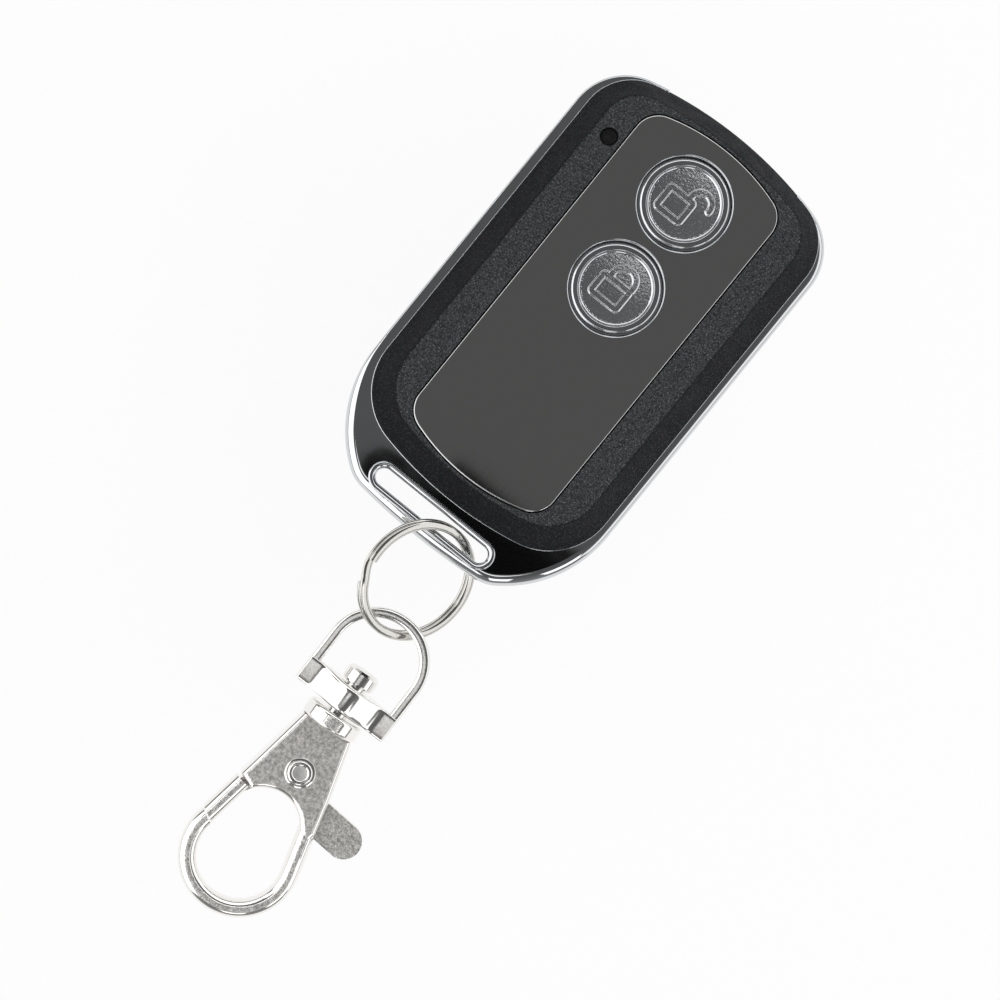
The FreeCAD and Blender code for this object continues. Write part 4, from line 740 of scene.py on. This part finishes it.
def shackle_distance(x, y, middle, radius, leg):
    """Distance to a half ring above middle, whose two ends run down by leg."""
    bow = np.abs(np.hypot(x - middle[0], y - middle[1]) - radius)
    below = np.minimum(y - middle[1] + leg, 0.0)
    legs = np.hypot(np.abs(np.abs(x - middle[0]) - radius), below)
    return np.where(y >= middle[1], bow, legs)


def padlock_ridge(x, y, body, half, shackle, radius, leg):
    """Height of the padlock's rib: it eases from 0 to 1 by s = (half - distance) / slope."""
    box = box_distance(x, y, body, half, BODY_CORNER)
    gap = np.minimum(box, shackle_distance(x, y, shackle, radius, leg))
    return ease((RIDGE_HALF - gap) / RIDGE_SLOPE)


# %% Buttons
BUTTON_TOP, DISH_LOW, DISH_RISE = 11.65, 11.15, 0.22
BUTTON_RADIUS, DISH_RADIUS, CAP_ROUND, WALL_ROUND, FLOOR_ROUND = 5.05, 4.4, 0.3, 0.14, 0.36
FLANGE_RADIUS, FLANGE_LOW, FLANGE_HIGH = 5.85, 8.8, 9.4
FLOOR_RADIUS = DISH_RADIUS - WALL_ROUND - FLOOR_ROUND
WALL_TURN = math.pi / 2.3
DISH_WALL, DISH_FOOT = BUTTON_TOP - WALL_ROUND, DISH_LOW + DISH_RISE + FLOOR_ROUND
# flange, side, polished ring, wall and dish, closed at both poles
cap_profile = np.concatenate(
    [
        [(0.0, FLANGE_LOW), (FLANGE_RADIUS, FLANGE_LOW), (FLANGE_RADIUS, FLANGE_HIGH)],
        [(BUTTON_RADIUS, FLANGE_HIGH), (BUTTON_RADIUS, 10.5)],
        [(BUTTON_RADIUS - i, BUTTON_TOP - fall) for i, fall in quarter(CAP_ROUND, 7)[::-1]],
        [
            (DISH_RADIUS - WALL_ROUND * math.sin(a), DISH_WALL + WALL_ROUND * math.cos(a))
            for a in np.linspace(0.0, WALL_TURN, 6)
        ],
        [
            (FLOOR_RADIUS + FLOOR_ROUND * math.sin(a), DISH_FOOT - FLOOR_ROUND * math.cos(a))
            for a in np.linspace(WALL_TURN, 0.0, 8)
        ],
        [
            (r, DISH_LOW + DISH_RISE * (r / FLOOR_RADIUS) ** 2)
            for r in np.linspace(FLOOR_RADIUS - 0.04, 0.0, 120)
        ],
    ]
)


def on_floor(radius, height):
    """Whether points of the cap lie on the dish's floor."""
    return (radius < FLOOR_RADIUS) & (height > DISH_LOW - 0.01)


def make_button(name, middle_y, sign):
    """A cap: the profile turned as a grid of rings, with the padlock's rib on its floor."""
    turn = np.linspace(0.0, 2 * math.pi, 360, endpoint=False)
    radius, height = cap_profile[:, :1], cap_profile[:, 1:]
    x, y = radius * np.cos(turn), radius * np.sin(turn)
    z = height + RIDGE_RISE * padlock_ridge(x, y, *sign) * on_floor(radius, height)
    cap = make_piece(name, [np.stack([x, y + middle_y, z], axis=-1)], sharp=50.0)
    places = np.empty(len(cap.data.vertices) * 3, np.float32)
    cap.data.vertices.foreach_get("co", places)
    x, y, z = places.reshape(-1, 3).T / MM
    y = y - middle_y
    # the floor is grainy, and the rib's slopes are polished: 1 - 6h(1 - h) of its height h
    ridge = padlock_ridge(x, y, *sign)
    grain = np.clip(1.0 - 6.0 * ridge * (1.0 - ridge), 0.0, 1.0) * on_floor(np.hypot(x, y), z)
    layer = cap.data.attributes.new("grain", "FLOAT", "POINT")
    layer.data.foreach_set("value", grain.astype(np.float32))
    return cap


# body's middle and half size, shackle's middle and radius, and how far its legs run down
OPEN_PADLOCK = ((-0.8, -0.71), (1.6, 1.37), (1.39, 1.12), 1.3, 0.15)
SHUT_PADLOCK = ((-0.3, -0.66), (1.8, 1.25), (0.08, 1.2), 1.45, 0.4)
unlock_cap = make_button("unlock_cap", BUTTONS["unlock"], OPEN_PADLOCK)
lock_cap = make_button("lock_cap", BUTTONS["lock"], SHUT_PADLOCK)

# %% [markdown]
# ## The gate's rivet
#
# A tubular rivet is set by rolling its end outwards, which leaves a round bright bead
# about a shallow dimple. The real rivet's hole shows the ground in shade there, and a pale,
# rough disc in each dimple stands in for it as painted shade. Both ends are turned about
# the rivet's own axis, which the CAD joint of the gate gives.

# %% Rivet
RIVET_REACH, RIVET_HALF, WASHER = 1.12, 1.85, 1.8
ROLL_MEAN, ROLL_WIDE, ROLL_HIGH = 1.12, 0.33, 0.231
DIMPLE, DIMPLE_FLOOR, SHADE_DISC_HEIGHT = 0.76, RIVET_HALF - 0.38, RIVET_HALF - 0.3
rivet_side = unit(np.cross([0.0, 1.0, 0.0], gate_axis))
rivet_frame = np.stack([rivet_side, np.cross(gate_axis, rivet_side), gate_axis])


def on_rivet(profile):
    """A profile of (radius, height) turned about the rivet's axis, in the rivet's place."""
    return lathe(profile) @ rivet_frame + gate_place


end_profile = [(0.0, DIMPLE_FLOOR), (DIMPLE, DIMPLE_FLOOR), (DIMPLE + 0.03, DIMPLE_FLOOR + 0.04)]
end_profile += [
    (ROLL_MEAN - ROLL_WIDE * math.cos(a), RIVET_HALF + 0.02 + ROLL_HIGH * math.sin(a))
    for a in np.linspace(0.0, math.pi, 12)
]
end_profile += [(WASHER - 0.1, RIVET_HALF), (WASHER, RIVET_HALF - 0.08)]
end_profile += [(RIVET_REACH, RIVET_HALF - 0.12)]
rivet_profile = end_profile + [(radius, -height) for radius, height in reversed(end_profile)]
rolled_rivet = make_piece("rolled_rivet", [on_rivet(rivet_profile)], sharp=50.0)
# painted shade: a pale, rough disc in the dimple of each end, where the hole's shade shows
disc_profile = np.array([(0.0, 0.0), (0.74, 0.0), (0.77, 0.02), (0.77, -0.1), (0.0, -0.1)])
disc_ends = [on_rivet((disc_profile + (0.0, SHADE_DISC_HEIGHT)) * (1, side)) for side in (1, -1)]
rivet_hole_shade_disc = make_piece("rivet_hole_shade_disc", disc_ends, sharp=50.0)

# %% [markdown]
# ## The hook's shoulder
#
# On the casting the flat body runs into the round loop without a step. The fairing is a
# crowned section carried down the hook's right arm: hidden in the body at its start, it
# rises to cover the body's lower corner and then sinks to the loop's own thickness.

# %% Shoulder fairing
ARM_TOP, ARM_FOOT = np.array([4.05, -13.0]), np.array([6.17, -22.0])
LOOP_MIDDLE, LOOP_MEAN, LOOP_START, LOOP_END = (0.33, -23.45), 6.0, 12.0, -25.0
# along the arm, from the loop upwards: place, half the thickness and half the width
ARM_PLACES = (-30.0, -24.0, -23.0, -21.0, -19.7, -18.6, -17.0, -14.0, -13.0)
ARM_THICK = (1.38, 1.4, 1.46, 1.66, 1.82, 1.86, 1.79, 1.6, 1.5)
ARM_WIDE = (1.03, 1.05, 1.08, 1.1, 1.12, 1.12, 1.1, 1.0, 0.9)
hook_place, hook_up = joint_line("hook_swivel")
hook_frame = np.stack([np.cross(hook_up, gate_axis), hook_up, gate_axis])


def carried(path, half_width, half_height, section):
    """A unit section carried along a flat path and closed at both ends.

    Its x is laid to the path's left, times the half width, and its y upwards, times the
    half height. Both may change along the path.
    """
    along = unit(np.gradient(path, axis=0))
    side = np.stack([-along[:, 1], along[:, 0]], axis=-1)
    wide, high = (np.broadcast_to(size, len(path))[:, None] for size in (half_width, half_height))
    flat = path[:, None] + side[:, None] * (wide * section[None, :, 0])[..., None]
    return capped(np.concatenate([flat, (high * section[None, :, 1])[..., None]], axis=-1))


straight = ARM_TOP + np.linspace(0.0, 1.0, 60)[:, None] * (ARM_FOOT - ARM_TOP)
bend = arc(LOOP_MIDDLE, LOOP_MEAN, math.radians(LOOP_START), math.radians(LOOP_END), 30)
arm_path = np.concatenate([straight, bend])
arm_sizes = [np.interp(arm_path[:, 1], ARM_PLACES, sizes) for sizes in (ARM_WIDE, ARM_THICK)]
arm_grid = carried(arm_path, *arm_sizes, crowned_section(2.6, 48)) @ hook_frame + hook_place
hook_shoulder = make_piece("hook_shoulder", [arm_grid], sharp=60.0)

# %% [markdown]
# ## The yoke
#
# The yoke is one casting: a strap bent to an arch, whose legs run down into a crossbar that
# swells into the boss in one wave. Both are a section carried along a line: the strap's
# keeps its size along the arch, and the crossbar's grows in depth towards its middle.

# %% Yoke's place
BAR_HEIGHT = 3.2
YOKE_LEAN, YOKE_YAW, YOKE_PITCH = math.radians(-2.5), math.radians(4.0), math.radians(4.2)
front = math.sin(YOKE_PITCH) * np.array([math.sin(YOKE_YAW), -math.cos(YOKE_YAW)])
yoke_face = np.array([*front, math.cos(YOKE_PITCH)])
yoke_frame = np.stack([np.cross(hook_up, yoke_face), hook_up, yoke_face])
print("the yoke's front faces", yoke_face.round(3))


def in_yoke(grid):
    """Leans a grid about the crossbar's middle and lays it in the yoke's place."""
    cos, sin, half = math.cos(YOKE_LEAN), math.sin(YOKE_LEAN), BAR_HEIGHT / 2
    x, y, z = grid[..., 0], grid[..., 1] + half, grid[..., 2]
    leaned = np.stack([x * cos - y * sin, x * sin + y * cos - half, z], axis=-1)
    return leaned @ yoke_frame + hook_place


# %% Yoke
YOKE_HALF, YOKE_REACH, BOSS_DEPTH, BOSS_HALF, END_DEPTH = 6.2, 9.95, 3.0, 4.7, 0.85
STRAP_WIDE, STRAP_DEEP = 1.3, 1.5
leg_x, leg_top, leg_foot = YOKE_HALF - STRAP_WIDE / 2, YOKE_REACH - YOKE_HALF, 0.04 - BAR_HEIGHT
leg_rise = np.linspace(leg_foot, leg_top, 24)[:-1]
left_leg = np.stack([np.full_like(leg_rise, -leg_x), leg_rise], axis=-1)
arch = arc((0.0, leg_top), leg_x, math.pi, 0.0, 60)
strap_line = np.concatenate([left_leg, arch, (left_leg * (-1, 1))[::-1]])
strap = carried(strap_line, STRAP_WIDE / 2, STRAP_DEEP / 2, crowned_section(3.2))

# the crossbar, from right to left: its depth is a smooth wave from the ends to the boss
bar_x = np.linspace(YOKE_HALF - 0.25, 0.25 - YOKE_HALF, 121)
bar_depth = END_DEPTH + (BOSS_DEPTH - END_DEPTH) * ease(1.0 - np.abs(bar_x) / BOSS_HALF)
bar_line = np.stack([bar_x, np.full_like(bar_x, -BAR_HEIGHT / 2)], axis=-1)
crossbar = carried(bar_line, BAR_HEIGHT / 2, bar_depth, crowned_section(9.0, 64))
yoke_casting = make_piece("yoke_casting", [in_yoke(strap), in_yoke(crossbar)], sharp=50.0)

# %% [markdown]
# ## Inner parts
#
# The board, the battery and the contacts are hidden by the shells, but they are real
# pieces of the part. Each gets the finish of what it is made of.

# %% Inner materials


def make_plain(name, first, second, grain_mm, rough, metallic=0.0):
    """Two close colours mixed by a grain of a real size, with a faint bump."""
    material, tree, surface, place = new_material(name, {"Metallic": metallic})
    grain = add(tree, "TexNoise", grains(place, grain_mm, Detail=3.0, Roughness=0.55))
    share = add(tree, "MapRange", {**NOISE_MIDDLE, "Value": grain})
    colour = add(tree, "Mix", {**COLOURS, 0: share, 6: linear(first), 7: linear(second)})
    uneven = {**NOISE_MIDDLE, "To Min": rough * 0.85, "To Max": rough * 1.15, "Value": grain}
    uneven = add(tree, "MapRange", uneven)
    bump = add(tree, "Bump", {"Strength": 0.5, "Distance": 0.004 * MM, "Height": grain})
    give(tree, surface, {"Base Color": colour, "Roughness": uneven, "Normal": bump})
    return material


# painted shade: pale rough metal for the discs that stand in for the rivet's shaded hole
rivet_shade_disc_metal = make_plain("rivet_hole_painted_shade", "#d0d0ce", "#e2e2df", 0.3, 0.6, 1.0)
finishes = {
    # film with pressure-sensitive glue: milky, slightly glossy
    "adhesive_film": make_plain("acrylic_adhesive_film", "#b9b6ac", "#c9c6bc", 0.8, 0.45),
    # glass-fibre board under green solder resist
    "epoxy_board": make_plain("solder_resist_board", "#14502c", "#1b6136", 1.2, 0.35),
    # transfer-moulded epoxy of chips and switches: matt charcoal
    "chip_black": make_plain("moulded_epoxy", "#1d1e20", "#2a2b2d", 0.2, 0.6),
    # white LED package
    "led_body": make_plain("white_led_package", "#dcd9cf", "#e8e5dc", 0.3, 0.4),
    # dark red-brown acrylic rod, which looks black until the LED lights
    "light_guide": make_plain("smoked_acrylic_rod", "#040303", "#080606", 0.5, 0.4),
    # tin over brass or steel: pale, softly reflecting
    "tinned_metal": make_plain("tinned_brass", "#c3c2bd", "#d6d5d0", 0.5, 0.28, 1.0),
    # fired ceramic of resistors and capacitors
    "ceramic": make_plain("fired_ceramic", "#8a6f52", "#a58a6a", 0.15, 0.55),
    # etched copper under clear lacquer
    "copper": make_plain("etched_copper", "#c47a4e", "#d78f63", 0.6, 0.3, 1.0),
    # bright nickel-plated steel can of the cell
    "cell_steel": make_plain("cell_can_steel", "#cfcfcb", "#dededa", 0.7, 0.16, 1.0),
    # spring steel, drawn and left grey
    "spring_steel": make_plain("spring_steel", "#8e8e8c", "#a4a4a1", 0.3, 0.3, 1.0),
    # zinc-plated screw steel
    "screw_steel": make_plain("zinc_plated_steel", "#a9abad", "#c0c2c4", 0.3, 0.3, 1.0),
    "black_abs": black_abs,
    "smoked_plate": mirror_acrylic,
    "chrome_plated_abs": chrome_plate,
    "button_chrome": button_chrome,
    "nickel_steel": nickel_wire,
    "nickel_zinc": nickel_hook,
}

# %% [markdown]
# ## Finishes on the pieces
#
# Every CAD node already names its finish, so one loop dresses them all. The swivel pin
# was tumbled bright with the yoke, so it takes the polished cast nickel. Each new piece
# then rides on its body and stands for the CAD node that it replaces.

# %% Dress the nodes


def dress(mesh, material):
    """Gives a mesh one material."""
    mesh.materials.clear()
    mesh.materials.append(material)


for part in frame["record"]["subparts"]:
    dress(nodes[part["node"]].data, finishes[part["material_slot"]])
dress(nodes["swivel_pin"].data, nickel_cast)

new_pieces = (
    (front_shell, "fob", "black_abs", "top_cover", black_abs),
    (tongue, "fob", "black_abs", None, black_abs),
    (chrome_ring, "fob", "chrome_plated_abs", "chrome_frame", chrome_plate),
    (slot_lip, "fob", "chrome_plated_abs", None, chrome_plate),
    (shell_bead, "fob", "chrome_plated_abs", None, chrome_plate),
    (mirror_plate, "fob", "smoked_plate", "face_plate", mirror_acrylic),
    (hole_edges, "fob", "smoked_plate", None, chrome_plate),
    (ring_coil, "ring", "nickel_steel", "split_ring", nickel_wire),
    (rolled_rivet, "hook", "nickel_steel", "gate_rivet", nickel_cast),
    (rivet_hole_shade_disc, "hook", "spring_steel", None, rivet_shade_disc_metal),
    (hook_shoulder, "hook", "nickel_zinc", None, nickel_hook),
    (yoke_casting, "yoke", "nickel_zinc", "swivel_yoke", nickel_cast),
    (unlock_cap, "unlock", "button_chrome", "unlock_button", button_chrome),
    (lock_cap, "lock", "button_chrome", "lock_button", button_chrome),
)
for piece, body, slot, covered, material in new_pieces:
    dress(piece.data, material)
    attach(piece, body)
    if covered:
        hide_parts(covered)
print("dressed", len(nodes), "nodes and", len(new_pieces), "new pieces")

# %% [markdown]
# ## Table and light
#
# The photograph has a pure white ground without a shadow at the fob's edge. The table is
# white, lies well below the fob, so that the shadow is soft and the hook can swing down
# in full sight, and for the camera it glows as well, so that it stays white everywhere.

# %% Table
TABLE_REACH, TABLE_DROP, TABLE_GLOW = 1500.0, 55.0, 0.86
WHITE = (1.0, 1.0, 1.0, 1.0)


def flat_sheet(name, corners, height, finish):
    """A flat face through corners (x, y) at one height, and its node tree."""
    mesh = bpy.data.meshes.new(name)
    points = [(x * MM, y * MM, height * MM) for x, y in corners]
    mesh.from_pydata(points, [], [tuple(range(len(points)))])
    material = bpy.data.materials.new(finish)
    mesh.materials.append(material)
    sheet = new_object(name, mesh)
    print(name, "at", round(height), "mm")
    return sheet, bare_tree(material)


square = TABLE_REACH * np.array([(-1, -1), (1, -1), (1, 1), (-1, 1)])
tree = flat_sheet("table", square.tolist(), -TABLE_DROP, "white_paper_ground")[1]
ray = add(tree, "LightPath")
matt = add(tree, "BsdfDiffuse", {"Color": linear("#fbfbfb")})
glow = add(tree, "Emission", {"Color": WHITE, "Strength": 1.04})
seen = {0: ray.outputs["Is Camera Ray"], 1: ray.outputs["Is Glossy Ray"]}
seen = add(tree, "Math", {"operation": "MAXIMUM", **seen})
seen = add(tree, "Math", {**TIMES, 0: seen, 1: TABLE_GLOW})
ground = add(tree, "MixShader", {0: seen, 1: matt, 2: glow})
add(tree, "OutputMaterial", {"Surface": ground})

# %% [markdown]
# Chrome shows what surrounds it, so the banks of light are placed for their reflections: a
# broad one at the left of the picture, a long low one at the right, a high one at the top
# and two strips at the foot. Only the metal sees them. A lamp high up lights the black
# plastic and the table evenly, and it isn't mirrored.

# %% Lights
LAMP_DISTANCE = 0.8
LAMP_MIDDLE = np.array([*VIEW_MIDDLE[:2], 5.0]) * MM


def light_bank(name, across, up, elevation, width, height, radiance):
    """A rectangular lamp that faces the fob; across and up give its bearing in the picture."""
    tilt = math.radians(elevation)
    bearing = unit(image_right * across + image_up * up)
    back = bearing * math.cos(tilt) + np.array([0.0, 0.0, math.sin(tilt)])
    data = bpy.data.lights.new(name, "AREA")
    data.shape = "RECTANGLE"
    data.size, data.size_y = width, height
    data.energy = radiance * math.pi * width * height
    lamp = new_object(name, data)
    side = unit(np.cross([0.0, 0.0, 1.0], back))
    place = LAMP_MIDDLE + back * LAMP_DISTANCE
    columns = np.column_stack([side, np.cross(back, side), back, place])
    lamp.matrix_world = Matrix([*columns.tolist(), [0.0, 0.0, 0.0, 1.0]])
    print(name, "radiance", radiance, "power", round(data.energy, 2), "W")
    return lamp


for bank in (
    ("left_bank", -1.0, -0.15, 34.0, 1.25, 0.9, 1.5),
    ("right_bank", 1.0, -0.22, 24.0, 1.3, 0.5, 1.0),
    ("top_bank", 0.15, 1.0, 40.0, 1.9, 0.45, 1.3),
    ("foot_strip_right", 0.45, -0.9, 34.0, 0.2, 0.34, 1.5),
    ("foot_strip_left", -0.1, -1.0, 34.0, 0.2, 0.34, 1.5),
):
    light_bank(*bank).visible_diffuse = False
light_bank("overhead_diffuser", 0.8, 0.0, 74.0, 1.0, 1.0, 1.5).visible_glossy = False

# %% [markdown]
# A lens and its hood hang over a part that is lit like this, and flat chrome mirrors them
# as a black patch near the slot. A dark card at the camera's height stands in for them. A
# pale card beyond it is what the flats of the yoke mirror. Only mirrored rays see either.

# %% Cards
CARD_HEIGHT = VIEW_MIDDLE[2] + view_distance + 5.0
DARK_CARD = [(-13, 1), (-13, -5), (-30, -8), (-30, -24), (40, -24), (40, 1)]
PALE_CARD = [(-120, -85), (-120, -165), (120, -165), (120, -85)]


def hang_card(name, corners, colour, glow):
    """A glowing sheet at the camera's height; corners are millimetres from the camera."""
    places = [(x + VIEW_MIDDLE[0], y + VIEW_MIDDLE[1]) for x, y in corners]
    card, tree = flat_sheet(name, places, CARD_HEIGHT, name)
    glowing = add(tree, "Emission", {"Color": linear(colour), "Strength": glow})
    add(tree, "OutputMaterial", {"Surface": glowing})
    card.visible_camera = card.visible_diffuse = card.visible_shadow = False


hang_card("dark_card", DARK_CARD, "#0a0a0a", 1.0)
hang_card("pale_card", PALE_CARD, "#ffffff", 1.25)

# %% [markdown]
# The world is what lies beyond the lamps. The camera sees it white. Flat mirrors, such as
# the face plate, see a dim ceiling that is darkest overhead, and everything else gets a
# little even light from it.

# %% World
world = bpy.data.worlds.new("studio")
scene.world = world
tree = bare_tree(world)
ray = add(tree, "LightPath")
direction = add(tree, "TexCoord").outputs["Generated"]
height = add(tree, "SeparateXYZ", {0: direction}).outputs["Z"]
ceiling = {"From Min": 0.1, "From Max": 0.9, "To Min": 0.26, "To Max": 0.112, "Value": height}
ceiling = add(tree, "MapRange", ceiling)
mirrored = add(tree, "Background", {"Color": WHITE, "Strength": ceiling})
even = add(tree, "Background", {"Color": WHITE, "Strength": 0.25})
white = add(tree, "Background", {"Color": WHITE, "Strength": 1.0})
lit = add(tree, "MixShader", {0: ray.outputs["Is Glossy Ray"], 1: even, 2: mirrored})
shown = add(tree, "MixShader", {0: ray.outputs["Is Camera Ray"], 1: lit, 2: white})
add(tree, "OutputWorld", {"Surface": shown})
print("world", world.name)
